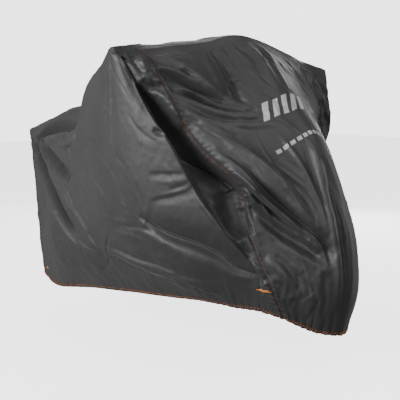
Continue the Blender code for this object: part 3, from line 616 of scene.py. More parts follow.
# %% [markdown]
# ## Seams and hem
#
# Where two panels are sewn together the double row of stitches pulls the cloth: the seam lies in a shallow
# groove, and short puckers stand across it. At the hem a flat elastic draws the cloth together, most at the
# front and the back, so it stands in small upright pleats that open out upwards. Both are waves along the
# edge that die away from it, and they are the same on both sides of a seam, so that the panels still meet.

# %% Distances on the cloth
def lengths_down(points):
    """The distance from the top seam to each point, down its column."""
    steps = np.linalg.norm(np.diff(points, axis=1), axis=2)
    return np.concatenate([np.zeros((len(points), 1)), np.cumsum(steps, axis=1)], axis=1)


def lengths_round(ribs, level, places):
    """The distance round the machine to each rib place at a level, measured by way of the given places."""
    return np.interp(ribs, places, walked_along(ring(places, [level])[:, 0]))


def lengths_along(ribs):
    """The distance along a panel to each rib place, at the machine's waist."""
    return lengths_round(ribs, 4.0, np.linspace(min(ribs) - 0.01, max(ribs) + 0.01, 400))


print("a side panel is", round(float(lengths_along(np.array([0.0, 9.0]))[-1]), 2), "m long at the waist")

# %% Beside the upright seams
SEAM_RIBS = (0.0, 9.0, 15.0, 24.0, 27.0)  # the last is the first again
FRONT_RIGHT_SEAM = 9.0  # the cloth is pulled most here, round the bar end
SEAM_REACH = 0.8  # ribs: a panel further away has no part in the seam
GROOVE_DEPTH, GROOVE_WIDTH = 0.0028, 0.006
LIP_HEIGHT, LIP_WIDTH, LIP_PLACE = 0.0016, 0.0035, 2.6  # its place is in its own widths
PUCKER_HEIGHT, PUCKER_HEIGHT_FRONT_RIGHT = 0.0026, 0.0034
PUCKER_SPACING, PUCKER_WANDER, PUCKER_REACH = 0.023, 6.0, 0.024  # it wanders in radians
SEWN_FLAT = 0.005  # the rows of stitches hold the cloth flat this near the seam


def seam_offset(points, ribs, down):
    """Groove and puckers beside the upright seams, the same on both panels."""
    offset = np.zeros(points.shape[:2])
    for number, rib in enumerate(SEAM_RIBS):
        if min(abs(ribs - rib)) > SEAM_REACH:
            continue
        column = int(abs(ribs - rib).argmin())
        away = np.linalg.norm(points - points[column][None], axis=2)
        along = down[column][None]
        wobble = rumple_on_line(along, 0.05, 40 + number % 4)
        strength = 0.6 + 0.6 * rumple_on_line(along, 0.11, 50 + number % 4)
        wave = np.sin(2 * np.pi * along / PUCKER_SPACING + PUCKER_WANDER * wobble)
        offset += -GROOVE_DEPTH * np.exp(-((away / GROOVE_WIDTH) ** 2))
        offset += LIP_HEIGHT * np.exp(-((away / LIP_WIDTH - LIP_PLACE) ** 2))
        pucker = PUCKER_HEIGHT_FRONT_RIGHT if rib == FRONT_RIGHT_SEAM else PUCKER_HEIGHT
        reached = np.exp(-((away / PUCKER_REACH) ** 1.5)) * (1 - np.exp(-((away / SEWN_FLAT) ** 2)))
        offset += pucker * strength * wave * reached
    return offset


print(len(SEAM_RIBS) - 1, "upright seams")

# %% Pleats at the hem
PLEAT_HEIGHT, PLEAT_WIDTH, PLEAT_MEAN = 0.0052, 0.031, 0.55
FINE_PLEAT_HEIGHT, FINE_PLEAT_WIDTH, FINE_PLEAT_REACH = 0.0010, 0.0135, 0.02
GATHER_FADE = 0.15  # ribs: the elastic is sewn down at the seams, so the pleats end there
GATHERS = (  # rib, how strongly the elastic draws there
    (-0.5, 1.0), (1.0, 0.45), (2.5, 0.06), (5.5, 0.03), (7.0, 0.40), (8.0, 1.0), (12.5, 1.1), (16.0, 1.0),
    (17.5, 0.5), (19.0, 0.12), (22.0, 0.25), (23.5, 0.8), (26.0, 1.0), (27.5, 0.9),
)


def gather_offset(ribs, down, round_the_hem):
    """The pleats that the elastic makes at the hem. They stand out between sharp valleys."""
    rise = down[:, -1:] - down  # above the hem
    from_seam = np.abs(ribs[:, None] - np.array(SEAM_RIBS)).min(axis=1)
    strength = (np.interp(ribs, *np.array(GATHERS).T) * np.clip(from_seam / GATHER_FADE, 0, 1))[:, None]
    u = round_the_hem[:, None]
    warped = u + 0.011 * rumple_on_line(u, 0.06, 61) + 0.004 * rumple_on_line(u, 0.02, 62)
    pleat = np.abs(np.sin(np.pi * warped / PLEAT_WIDTH)) ** 0.75
    fine = np.sin(2 * np.pi * warped / FINE_PLEAT_WIDTH)
    reach = 0.055 + 0.045 * rumple_on_line(u, 0.045, 63)
    offset = PLEAT_HEIGHT * strength * (pleat - PLEAT_MEAN) * np.exp(-((rise / reach) ** 1.3))
    offset += FINE_PLEAT_HEIGHT * strength * fine * np.exp(-rise / FINE_PLEAT_REACH)
    return offset


print("the elastic draws most at rib", max(GATHERS, key=lambda gather: gather[1])[0])

# %% [markdown]
# ## The hem
#
# The hem of a real cover is a tube of cloth round its elastic. Here the sheet's last rows make it: they roll
# under in a half circle and go back up inside, so that the edge looks thick and is closed when seen from
# below. A Solidify modifier would thicken the whole sheet for the sake of this one edge.

# %% The rolled hem
HEM_RADIUS, HEM_TURNED_UP = 0.0032, 0.016
HEM_LENGTHS = np.array([0.002, 0.004, 0.006, 0.008, 0.010, 0.018, 0.026])  # on the cloth, past its edge
HEM_ROWS = len(HEM_LENGTHS)
HEM_TURNS = HEM_ROWS - 2  # the rest go up inside


def hemmed(points, normals):
    """The rows of the hem added: it rolls under and goes back up inside."""
    end = points[:, -1]
    down = unit(points[:, -1] - points[:, -5])
    n = unit(normals[:, -1])
    rows = []
    for angle in np.linspace(0, math.pi, HEM_TURNS + 1)[1:]:
        rows.append(end + HEM_RADIUS * (math.sin(angle) * down - (1 - math.cos(angle)) * n))
    inside = rows[-1]
    rows += [inside - rise * HEM_TURNED_UP * down for rise in (0.5, 1.0)]
    return np.concatenate([points, np.stack(rows, axis=1)], axis=1)


print("the hem has", HEM_ROWS, "rows")

# %% [markdown]
# ## One panel's sheet
#
# Each panel starts as Blender's grid, with a point for every few millimetres of cloth, closest on the right
# side and the front. Its points are then moved onto the skin and out along it by all that folds the cloth.
# The grid's UV map gets the cloth's own lengths in metres, so that a weave or a print follows the cloth, and
# an attribute keeps how far each point was lifted, so that the finish can make the ridges smoother and paint
# them paler, a painted sheen.

# %% A grid becomes a sheet
def mesh_points(mesh):
    flat = np.empty(3 * len(mesh.vertices))
    mesh.vertices.foreach_get("co", flat)
    return flat.reshape(-1, 3)


def edited(piece, work, **settings):
    """One of edit mode's operators does its work on the whole piece."""
    bpy.ops.object.select_all(action="DESELECT")
    piece.select_set(True)
    bpy.context.view_layer.objects.active = piece
    bpy.ops.object.mode_set(mode="EDIT")
    bpy.ops.mesh.select_all(action="SELECT")
    work(**settings)
    bpy.ops.object.mode_set(mode="OBJECT")


def grid_piece(name, points, uv, lift=None, gone=None):
    """A grid whose columns and rows become the given points, and its UV map their lengths."""
    bpy.ops.object.select_all(action="DESELECT")
    columns, rows = points.shape[:2]
    bpy.ops.mesh.primitive_grid_add(x_subdivisions=columns - 1, y_subdivisions=rows - 1, size=2)
    piece = bpy.context.object
    piece.name = piece.data.name = name
    mesh = piece.data
    flat = mesh_points(mesh)
    i = np.rint((flat[:, 0] + 1) / 2 * (columns - 1)).astype(int)
    j = rows - 1 - np.rint((flat[:, 1] + 1) / 2 * (rows - 1)).astype(int)
    corner = np.empty(len(mesh.loops), int)
    mesh.loops.foreach_get("vertex_index", corner)
    mesh.uv_layers[0].name = "cut"
    mesh.uv_layers[0].data.foreach_set("uv", uv[i[corner], j[corner]].ravel())
    mesh.vertices.foreach_set("co", points[i, j].ravel())
    if lift is not None:
        mesh.attributes.new("lift", "FLOAT", "POINT").data.foreach_set("value", lift[i, j].ravel())
    if gone is not None:
        faces = np.empty(4 * len(mesh.polygons), int)
        mesh.polygons.foreach_get("vertices", faces)
        faces = faces.reshape(-1, 4)
        remove_faces(piece, gone[i[faces].min(1), j[faces].min(1)])
    mesh.shade_smooth()
    mesh.update()
    return piece


def remove_faces(piece, chosen):
    bpy.ops.object.mode_set(mode="EDIT")
    bpy.ops.mesh.select_mode(type="FACE")
    bpy.ops.mesh.select_all(action="DESELECT")
    bpy.ops.object.mode_set(mode="OBJECT")
    piece.data.polygons.foreach_set("select", chosen)
    bpy.ops.object.mode_set(mode="EDIT")
    bpy.ops.mesh.delete(type="FACE")
    bpy.ops.object.mode_set(mode="OBJECT")


print("grids ready")

# %% Rows and columns
def fine_levels(rows):
    """Level places, with the given number of rows between each two levels."""
    return np.append(np.concatenate([k + np.arange(n) / n for k, n in enumerate(rows)]), float(LAST_LEVEL))


def fine_ribs(first, last, fineness):
    """Rib places, with the model's columns between two ribs each cut in so many."""
    parts = [k + np.arange(RIBS[k][1] * fineness) / (RIBS[k][1] * fineness) for k in range(first, last)]
    return np.append(np.concatenate(parts), float(last))


NEAR_ROWS, FAR_ROWS = (12, 30, 34, 36, 36, 34, 36), (8, 20, 22, 24, 24, 22, 24)
print("rows of a near panel:", sum(NEAR_ROWS), "and of a far one:", sum(FAR_ROWS))

# %% All that folds a panel
BUMPS = (0.0024, (0.13, 0.13, 0.19), 71)  # height, size, seed
RIDGES = ((0.0010, (0.055, 0.055, 0.08), 72), (0.0004, (0.022, 0.022, 0.03), 73))
SHOULDER_FADE, TOP_FADE = 0.35, 0.1  # levels: folds and seam puckers start this gently at the top seam


def folds_at(points, normals, gully_share=1.0):
    """How far all folds and creases together move each point along its normal."""
    flat, n = points.reshape(-1, 3), normals.reshape(-1, 3)
    offset = gully_share * fold_offset(flat, n, *FOLD_LINES[0]).reshape(points.shape[:2])
    for fold in FOLD_LINES[1:]:
        offset += fold_offset(flat, n, *fold).reshape(points.shape[:2])
    return offset


def folded_ring(ribs, levels):
    """A panel's points with all that folds it, its normals, and each point's lengths along and down."""
    base, normals = ring(ribs, levels), ring_normals(ribs, levels)
    down, along = lengths_down(base), lengths_along(ribs)
    offset = folds_at(base, normals, np.clip((ribs - GULLY_START) / GULLY_FADE, 0, 1)[:, None])
    offset += BUMPS[0] * rumple_in(base, *BUMPS[1:])
    for height, size, seed in RIDGES:
        offset += height * ridged(rumple_in(base, size, seed))
    offset *= np.clip(levels / SHOULDER_FADE, 0, 1)[None] ** 1.5
    offset += seam_offset(base, ribs, down) * np.clip(levels / TOP_FADE, 0, 1)[None]
    round_the_hem = lengths_round(ribs, float(LAST_LEVEL), np.linspace(-1, 28, 1600))
    offset += gather_offset(ribs, down, round_the_hem)
    uv = np.stack([along[:, None] + 0 * down, down + 0 * along[:, None]], axis=2)
    return base + offset[..., None] * normals, normals, uv, offset


def surface_area(points):
    crossed = np.cross(points[1:, 1:] - points[:-1, :-1], points[1:, :-1] - points[:-1, 1:])
    return float(np.linalg.norm(crossed, axis=2).sum() / 2)


print("the right side's skin covers about", round(surface_area(ring(np.arange(10), np.arange(8))), 1), "m2")

# %% [markdown]
# ## The side and front panels
#
# Three of the four panels stand in the ring, each between two seams. They are hung cloth, and the area of
# each one's skin is printed. Each keeps an opening for every lock patch, which is a piece of its own.

# %% The side and front panels
Sheet = namedtuple("Sheet", "ribs levels points")
HAIR = 0.001  # less than a step between two columns or rows
PATCH_TOP, PATCH_BOTTOM = 6, 6 + 2 / 3
PANELS = []


def hung(piece, node, points, area):
    """The piece takes its place: it stands for its node and moves with it."""
    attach(piece, "root")
    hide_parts(node)
    PANELS.append(piece)
    print(node, "has", len(piece.data.polygons), "faces,", round(area, 2), "square metres")


def in_patch(ribs, levels):
    """The cells of the lock patches."""
    gone = np.zeros((len(ribs), len(levels) + HEM_ROWS), bool)
    row = (levels > PATCH_TOP - HAIR) & (levels < PATCH_BOTTOM - HAIR)
    for rib in (0, 8, 15, 23):
        column = (ribs > rib - HAIR) & (ribs < rib + 1 - HAIR)
        gone[np.ix_(column, np.append(row, np.zeros(HEM_ROWS, bool)))] = True
    return gone


def build_ring_panel(node, first, last, fineness, rows):
    """The panel between two ribs."""
    ribs, levels = fine_ribs(first, last, fineness), fine_levels(rows)
    points, normals, uv, lift = folded_ring(ribs, levels)
    area = surface_area(ring(ribs[::3], levels[::3]))
    points, lift = hemmed(points, normals), np.pad(lift, ((0, 0), (0, HEM_ROWS)))
    under = np.repeat(uv[:, -1:], HEM_ROWS, axis=1)
    under[..., 1] += HEM_LENGTHS
    uv = np.concatenate([uv, under], axis=1)
    piece = grid_piece(f"cloth_{node}", points, uv, lift, in_patch(ribs, levels))
    hung(piece, node, points, area)
    return Sheet(ribs, levels, points)


RIGHT = build_ring_panel("side_panel_right", 0, 9, 13, NEAR_ROWS)
FRONT = build_ring_panel("front_panel", 9, 15, 15, NEAR_ROWS)
LEFT = build_ring_panel("side_panel_left", 15, 24, 9, FAR_ROWS)

# %% [markdown]
# ## The saddle panel
#
# One long piece closes the top and runs on down the back. Its grid starts at the front edge of the top,
# runs back over the saddle to the rear, turns over the edge and goes down the back strip to the hem. Its
# edges are the top seams of the other panels, so nothing gapes.

# %% The saddle's shape
SADDLE_FLATNESS = (0.25, 0.8)  # along, across: the smaller, the sooner the saddle reaches its full height


def edge_points(ribs):
    return ring(ribs, [0.0])[:, 0]


def saddle(fineness):
    """The saddle's points: rows from its front edge back, columns from its left side to its right."""
    right, left = edge_points(fine_ribs(0, 9, fineness)), edge_points(fine_ribs(15, 24, fineness)[::-1])
    front, back = edge_points(fine_ribs(9, 15, fineness)), edge_points(fine_ribs(24, 27, fineness)[::-1])
    u, w = np.linspace(0, 1, len(right))[:, None, None], np.linspace(0, 1, len(front))[None, :, None]
    ruled = (1 - w) * right[:, None] + w * left[:, None] + (1 - u) * back[None] + u * front[None]
    corners = (1 - u) * ((1 - w) * right[0] + w * left[0]) + u * ((1 - w) * right[-1] + w * left[-1])
    points = ruled - corners
    middle = points[:, len(front) // 2]
    x, z = MM * np.array(SADDLE).T
    lift = np.interp(middle[:, 0], x - MACHINE[0], z - MACHINE[2]) - middle[:, 2]
    along, across = SADDLE_FLATNESS
    rise = np.sin(np.pi * u[:, 0, 0]) ** along
    points[:, :, 2] += (lift * rise)[:, None] * np.sin(np.pi * w[0, :, 0])[None] ** across
    return points[::-1, ::-1]


print("the saddle covers", round(surface_area(saddle(3)), 2), "square metres before it is folded")

# %% The saddle and the back strip
EDGE_SHARES = (12, 8)  # its folds fade over a twelfth of its rows and an eighth of its columns


def sheet_normals(points):
    """The outward directions of a sheet whose columns run on and whose rows run down."""
    along, down = np.gradient(points, axis=0), np.gradient(points, axis=1)
    return unit(np.cross(down, along))


def from_edge(count, share):
    """How far each of so many rows is from the nearer edge, 1 where it is this share of them all."""
    return np.minimum(np.arange(count), np.arange(count)[::-1]) / count * share


def folded_saddle(fineness):
    points = saddle(fineness)
    normals = -sheet_normals(points)  # its rows and columns have changed places
    offset = folds_at(points, normals)
    x, y = points[..., 0], points[..., 1]
    offset += 0.0025 * rumple(x + 0.3 * y, y, 0.13, 0.09, 81)
    offset += 0.0016 * ridged(rumple(x, y - 0.4 * x, 0.055, 0.05, 82))
    offset += 0.0006 * ridged(rumple(x + y, y - x, 0.03, 0.025, 83))
    edge = np.minimum.outer(*(from_edge(*pair) for pair in zip(points.shape, EDGE_SHARES)))
    offset *= np.clip(edge, 0, 1) ** 1.2
    return points + offset[..., None] * normals, offset


def build_saddle(fineness, level_rows):
    """The saddle and the back strip as one sheet."""
    top, top_lift = folded_saddle(fineness)
    ribs, levels = fine_ribs(24, 27, fineness), fine_levels(level_rows)
    strip, strip_normals, _, strip_lift = folded_ring(ribs, levels)
    area = surface_area(saddle(3)) + surface_area(ring(ribs[::3], levels[::3]))
    strip = hemmed(strip, strip_normals)
    points = np.concatenate([top, strip.transpose(1, 0, 2)[1:]]).transpose(1, 0, 2)
    down = lengths_down(points)
    width = np.linalg.norm(np.diff(points, axis=0), axis=2).sum(0).max()
    across = np.linspace(0, width, len(points))[:, None] + 0 * down
    uv = np.stack([across, down], axis=2)
    lift = np.concatenate([top_lift, np.pad(strip_lift, ((0, 0), (0, HEM_ROWS))).T[1:]]).T
    piece = grid_piece("cloth_saddle_panel", points, uv, lift)
    hung(piece, "saddle_panel", points, area)
    return Sheet(ribs, levels, points[:, -(len(levels) + HEM_ROWS):])


BACK_STRIP = build_saddle(9, FAR_ROWS)

# %% [markdown]
# ## Lock holes
#
# Near each wheel a lock can be put through both sides of the cover. The hole is a level slit in a small
# patch, and a tape is sewn round its edge. A patch is a band of cloth from the opening in the panel, whose
# points it shares, to the slit. A Boolean cut would leave long thin faces there, which shade badly.

# %% The lock holes' places
LOCK_HOLES = (  # name, the panel, first rib, centre of the slit, half its length and height
    ("front_right", RIGHT, 8, (0.52, 0.60), 0.036, 0.0024),
    ("front_left", LEFT, 15, (0.48, 0.60), 0.036, 0.0024),
    ("rear_right", RIGHT, 0, (0.30, 0.55), 0.024, 0.0040),
    ("rear_left", LEFT, 23, (0.70, 0.55), 0.024, 0.0040),
)


def sampled(points, i, j):
    """A sheet's points between the points of its grid."""
    i, j = np.clip(i, 0, points.shape[0] - 1.001), np.clip(j, 0, points.shape[1] - 1.001)
    a, b = i.astype(int), j.astype(int)
    s, t = (i - a)[..., None], (j - b)[..., None]
    return ((points[a, b] * (1 - s) + points[a + 1, b] * s) * (1 - t)
            + (points[a, b + 1] * (1 - s) + points[a + 1, b + 1] * s) * t)


def patch_rim(sheet, rib):
    """Grid numbers of the points round the opening, in order, and its first and last column and row."""
    i = np.flatnonzero((sheet.ribs > rib - HAIR) & (sheet.ribs < rib + 1 + HAIR))
    j = np.flatnonzero((sheet.levels > PATCH_TOP - HAIR) & (sheet.levels < PATCH_BOTTOM + HAIR))
    low, high, top, bottom = i[0], i[-1], j[0], j[-1]
    rim = [(k, top) for k in range(low, high)] + [(high, k) for k in range(top, bottom)]
    rim += [(k, bottom) for k in range(high, low, -1)] + [(low, k) for k in range(bottom, top, -1)]
    return np.array(rim + rim[:1], float), (low, high, top, bottom)


print("the points round each opening:", [len(patch_rim(sheet, rib)[0]) for _, sheet, rib, *_ in LOCK_HOLES])

# %% The patch round a slit
PATCH_ROWS, ROW_CROWDING = 16, 0.8  # below 1, the rows lie closest at the slit
CELL = 0.005  # about the length of a panel's cell, in metres
SLOPE_SPAN = 4.0  # cells on each side of the slit's centre, over which the cloth's directions are taken
SPREAD_HEIGHT = 0.0026  # half the slit's height, for sharing its edge among the points round the opening
POUT_HEIGHT, POUT_SHARE = 0.003, 0.18  # how far the slit's lips stand out, over what share of the rows
POUT_ALL_ROUND, POUT_MIDDLE = 0.35, 0.5  # shares of that height: everywhere, and more at mid-lip


def build_patch(name, sheet, rib, centre, half_length, half_height):
    """The patch, the points of its slit, the direction it faces and the direction down it."""
    points = sheet.points
    rim, (low, high, top, bottom) = patch_rim(sheet, rib)
    middle = np.array([low + centre[0] * (high - low), top + centre[1] * (bottom - top)])

    def slope(i, j):
        ahead, behind = (sampled(points, middle[:1] + k * i, middle[1:] + k * j)[0] for k in (1, -1))
        return (ahead - behind) / (2 * SLOPE_SPAN)

    along, down = slope(SLOPE_SPAN, 0), slope(0, SLOPE_SPAN)
    facing = unit(np.cross(down, along))
    across = unit(np.cross((0, 0, 1), facing))
    drop = unit(np.cross(across, facing))
    drop = drop * np.sign(drop @ down)
    places = (rim - middle) @ np.stack([along, down])
    angle = np.unwrap(np.arctan2(places @ drop / SPREAD_HEIGHT, places @ across / half_length))
    loop = half_length * np.cos(angle)[:, None] * across + half_height * np.sin(angle)[:, None] * drop
    loop_ij = middle + (np.linalg.pinv(np.stack([along, down], axis=1)) @ loop.T).T
    share = np.linspace(0, 1, PATCH_ROWS + 1) ** ROW_CROWDING
    ij = rim[:, None] * (1 - share[None, :, None]) + loop_ij[:, None] * share[None, :, None]
    surface = sampled(points, ij[..., 0], ij[..., 1])
    lips = POUT_HEIGHT * np.exp(-((1 - share) / POUT_SHARE) ** 2)[None, :, None]
    surface = surface + lips * (POUT_ALL_ROUND + POUT_MIDDLE * np.abs(np.sin(angle))[:, None, None]) * facing
    order = 1 if np.cross(surface[1, 1] - surface[0, 1], surface[0, 0] - surface[0, 1]) @ facing > 0 else -1
    surface = surface[::order]
    patch = grid_piece(f"patch_{name}", surface, ij[::order] * CELL)
    edited(patch, bpy.ops.mesh.remove_doubles, threshold=0.00002)  # where its last column meets its first
    return patch, surface_area(surface), surface[:-1, -1], facing, drop


print("a patch has", PATCH_ROWS, "rows")

# %% [markdown]
# The tape is folded over the slit's edge and sewn, so it is a flattened tube all the way round. Blender's
# torus is such a tube: it is drawn out to the slit's shape and pressed flat, a little fuller at the lower lip.

# %% The tape round a slit
RING_RADIUS, TUBE_RADIUS, TUBE_SIDES = 0.02, 0.003, 12  # the torus, before it is drawn out
TAPE_WIDTH, TAPE_THICKNESS = (0.0026, 0.0010), (0.0012, 0.0004)  # half of each, and what the lower lip adds
TAPE_OUT, TAPE_WAVE, TAPE_WAVE_STEP = 0.0005, 0.0003, 2.1  # it lies this far out, and is a little uneven
LOWER_BY = 0.005  # below the slit's middle, where the tape is fullest


def build_binding(name, slit, facing, drop):
    """The tape over the edge that the slit's points give."""
    bpy.ops.object.select_all(action="DESELECT")
    count = len(slit)
    bpy.ops.mesh.primitive_torus_add(major_segments=count, minor_segments=TUBE_SIDES,
                                     major_radius=RING_RADIUS, minor_radius=TUBE_RADIUS)
    tape = bpy.context.object
    tape.name = tape.data.name = name
    flat = mesh_points(tape.data)
    turn = np.mod(np.rint(np.arctan2(flat[:, 1], flat[:, 0]) / (2 * np.pi) * count).astype(int), count)
    out, up = np.hypot(flat[:, 0], flat[:, 1]) - RING_RADIUS, flat[:, 2]
    run = unit(np.roll(slit, -1, axis=0) - np.roll(slit, 1, axis=0))
    outward = unit(np.cross(run, facing))
    centre = slit.mean(0)
    if np.einsum("px,px->p", outward, slit - centre).mean() < 0:
        outward = -outward
    lower = np.clip((slit - centre) @ drop / LOWER_BY, -1, 1)
    wide, thick = (half + more * lower for half, more in (TAPE_WIDTH, TAPE_THICKNESS))
    wave = TAPE_WAVE * np.sin(np.arange(count) * TAPE_WAVE_STEP)
    placed = (slit[turn] + (out / TUBE_RADIUS * wide[turn])[:, None] * outward[turn]
              + (up / TUBE_RADIUS * thick[turn] + TAPE_OUT + wave[turn])[:, None] * facing)
    tape.data.vertices.foreach_set("co", placed.ravel())
    tape.data.update()
    edited(tape, bpy.ops.mesh.normals_make_consistent, inside=False)
    tape.data.shade_smooth()
    return tape


PATCHES, BINDINGS = [], []
for name, *hole in LOCK_HOLES:
    patch, area, *edge = build_patch(name, *hole)
    tape = build_binding(f"binding_{name}", *edge)
    for piece, slot in ((patch, "coated_cloth"), (tape, "orange_tape")):
        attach(piece, "root")
        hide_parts(f"lock_{piece.name}")
    PATCHES.append(patch)
    BINDINGS.append(tape)
    print(patch.name, "covers", round(area * 1e4, 1), "square centimetres")

# %% [markdown]
# ## Stitching
#
# Every seam is sewn with a double row of rust-coloured thread. Painted stitches would lie flat, so a stitch
# is a small bead, made once and copied along the seam, partly sunk in the cloth.

# %% One stitch
STITCH_SIDES, STITCH_BLUNTNESS = 6, 0.8  # the smaller, the blunter its ends


def stitch_shape():
    """One stitch's mesh: a six-sided bead whose ends close, lying along X, 1 long and 1 thick."""
    bpy.ops.object.select_all(action="DESELECT")
    bpy.ops.mesh.primitive_uv_sphere_add(segments=STITCH_SIDES, ring_count=5, radius=0.5)
    bead = bpy.context.object
    points = mesh_points(bead.data)[:, [2, 0, 1]]
    points[:, 0] = np.sign(points[:, 0]) * (np.abs(points[:, 0]) / 0.5) ** STITCH_BLUNTNESS * 0.5
    faces = [tuple(p.vertices) for p in bead.data.polygons]
    bpy.data.objects.remove(bead)
    return points, faces


STITCH_POINTS, STITCH_FACES = stitch_shape()
print("a stitch has", len(STITCH_FACES), "faces")

# %% Rows of stitches
STITCHES = []


def sewn(name, centres, runs, normals, length, thickness):
    """One piece of many stitches: each at its centre, along its run, flat on the cloth."""
    x, z = unit(runs), unit(normals)
    y = unit(np.cross(z, x))
    z = np.cross(x, y)
    p = STITCH_POINTS
    placed = (centres[:, None] + length * p[None, :, :1] * x[:, None] + thickness * p[None, :, 1:2] * y[:, None]
              + thickness * p[None, :, 2:] * z[:, None])
    faces = [tuple(k + s * len(p) for k in face) for s in range(len(centres)) for face in STITCH_FACES]
    mesh = bpy.data.meshes.new(name)
    mesh.from_pydata(placed.reshape(-1, 3).tolist(), [], faces)
    mesh.shade_smooth()
    piece = bpy.data.objects.new(name, mesh)
    bpy.context.collection.objects.link(piece)
    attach(piece, "root")
    STITCHES.append(piece)
    print(name, "has", len(centres), "stitches and", len(mesh.polygons), "faces")


def along_path(path, spacing, normals):
    """Places on a path, the same distance apart, the directions there, the cloth's normals, and how far on."""
    walked = walked_along(path)
    stops = np.arange(spacing / 2, walked[-1] - spacing / 2, spacing)
    places, ahead = (np.stack([np.interp(stops + more, walked, path[:, k]) for k in range(3)], axis=1)
                     for more in (0, 0.001))
    at = np.interp(stops, walked, np.arange(len(path)))
    return places, ahead - places, normals[np.clip(np.rint(at).astype(int), 0, len(path) - 1)], at


print("a row is a piece of its own")

# %% Stitches beside the upright seams
SEAM_STITCH, SEAM_SPACING, SEAM_PROUD = 0.0050, 0.0050 + 0.0022, 0.0004
UPRIGHT_AWAY, UPRIGHT_THICKNESS = 0.0042, 0.0017
NEAR = 9  # columns from a seam within which its stitches lie


def at_distance(strip, distance):
    """The path at a distance from a strip's edge, where its columns start, measured on the cloth."""
    place = np.array([np.interp(distance, row, np.arange(strip.shape[1])) for row in lengths_down(strip)])
    return sampled(strip, np.arange(len(strip), dtype=float), place)


def seam_row(name, strip, distance, normals, thickness):
    """The stitches at a distance from a strip's edge."""
    centres, runs, n, _ = along_path(at_distance(strip, distance), SEAM_SPACING, normals)
    sewn(name, centres + SEAM_PROUD * n, runs, n, SEAM_STITCH, thickness)


for name, sheet, column in (
    ("front_right_outer", RIGHT, -1), ("front_right_inner", FRONT, 0), ("front_left_inner", FRONT, -1),
    ("front_left_outer", LEFT, 0), ("rear_left", LEFT, -1), ("rear_right", RIGHT, 0),
):
    rows = len(sheet.levels)
    inward, inside = (1, 2) if column == 0 else (-1, -3)
    strip = sheet.points[column::inward][:NEAR].transpose(1, 0, 2)[:rows]
    normals = sheet_normals(sheet.points)[inside, :rows]
    seam_row(f"stitches_{name}", strip, UPRIGHT_AWAY, normals, UPRIGHT_THICKNESS)

# %% [markdown]
# The seam round the top is sewn in the same way. Its row runs along a sheet instead of down it.

# %% Stitches along the top seam
TOP_AWAY, TOP_THICKNESS = 0.0045, 0.0016
NEAR_TOP = 12  # rows from the top seam within which its stitches lie
for name, sheet in (("right", RIGHT), ("front", FRONT), ("left", LEFT)):
    normals = sheet_normals(sheet.points)[:, 3]
    seam_row(f"stitches_top_{name}", sheet.points[:, :NEAR_TOP], TOP_AWAY, normals, TOP_THICKNESS)

# %% [markdown]
# At the hem a thicker, brighter thread holds the elastic. Its long slanted stitches lie so close that they
# look like a twisted cord. They stand most upright where the elastic draws the cloth together most.

# %% Slanted stitches at the hem
HEM_RISE, HEM_TILT, HEM_SPACING, HEM_PROUD = 0.0095, 0.95, 0.0115, 0.0005
HEM_STITCH, HEM_THICKNESS = 0.0140, 0.0024


def hem_stitches(name, sheet):
    """The stitches along a sheet, just above its hem."""
    cloth = sheet.points[:, :len(sheet.levels)]
    path = at_distance(cloth[:, ::-1], HEM_RISE)
    centres, runs, n, at = along_path(path, HEM_SPACING, sheet_normals(cloth)[:, -5])
    run = unit(runs)
    up = unit(np.cross(run, n))
    up = up * np.sign(up[:, 2:])
    ribs = np.interp(at, np.arange(len(sheet.ribs)), sheet.ribs)
    strength = np.interp(ribs, *np.array(GATHERS).T)[:, None]
    slant = run * math.cos(HEM_TILT) + up * math.sin(HEM_TILT) * np.clip(strength + 0.2, 0.3, 1)
    sewn(name, centres + HEM_PROUD * n, slant, n, HEM_STITCH, HEM_THICKNESS)


for name, sheet in (("right", RIGHT), ("front", FRONT), ("left", LEFT), ("back", BACK_STRIP)):
    hem_stitches(f"stitches_hem_{name}", sheet)

# %% [markdown]
# ## Finishes
#
# A finish is a graph of shader nodes. A small class lets a shader's numbers be written as arithmetic: an
# expression on node outputs adds its Math nodes. Any other node comes from one method, which takes its
# type, its settings, and the values or links of its sockets.

# %% Shader maths
def maths(operation, swapped=False, clamp=False):
    """A method of Number that adds one Math node, on the number itself and on what else it is given."""
    def method(self, *others):
        values = (*others, self) if swapped else (self, *others)
        settings = {"operation": operation, "use_clamp": clamp}
        return self.finish.node("ShaderNodeMath", settings, dict(enumerate(values)))

    return method


class Number:
    """An output of a shader node that can be used in arithmetic."""

    def __init__(self, finish, socket):
        self.finish, self.socket = finish, socket

    __add__ = __radd__ = maths("ADD")
    __sub__, __rsub__ = maths("SUBTRACT"), maths("SUBTRACT", swapped=True)
    __mul__ = __rmul__ = maths("MULTIPLY")
    __truediv__ = maths("DIVIDE")
    sine, absolute, fraction, below = maths("SINE"), maths("ABSOLUTE"), maths("FRACT"), maths("LESS_THAN")

    def clamped(self):
        return maths("ADD", clamp=True)(self, 0.0)

    def between(self, low, high):
        """0 below low, 1 above high, and a straight rise from one to the other."""
        return self.finish.node("ShaderNodeMapRange", {"clamp": True},
                                {"Value": self, "From Min": low, "From Max": high})


print("a Number knows:", *(name for name in vars(Number) if "__" not in name))

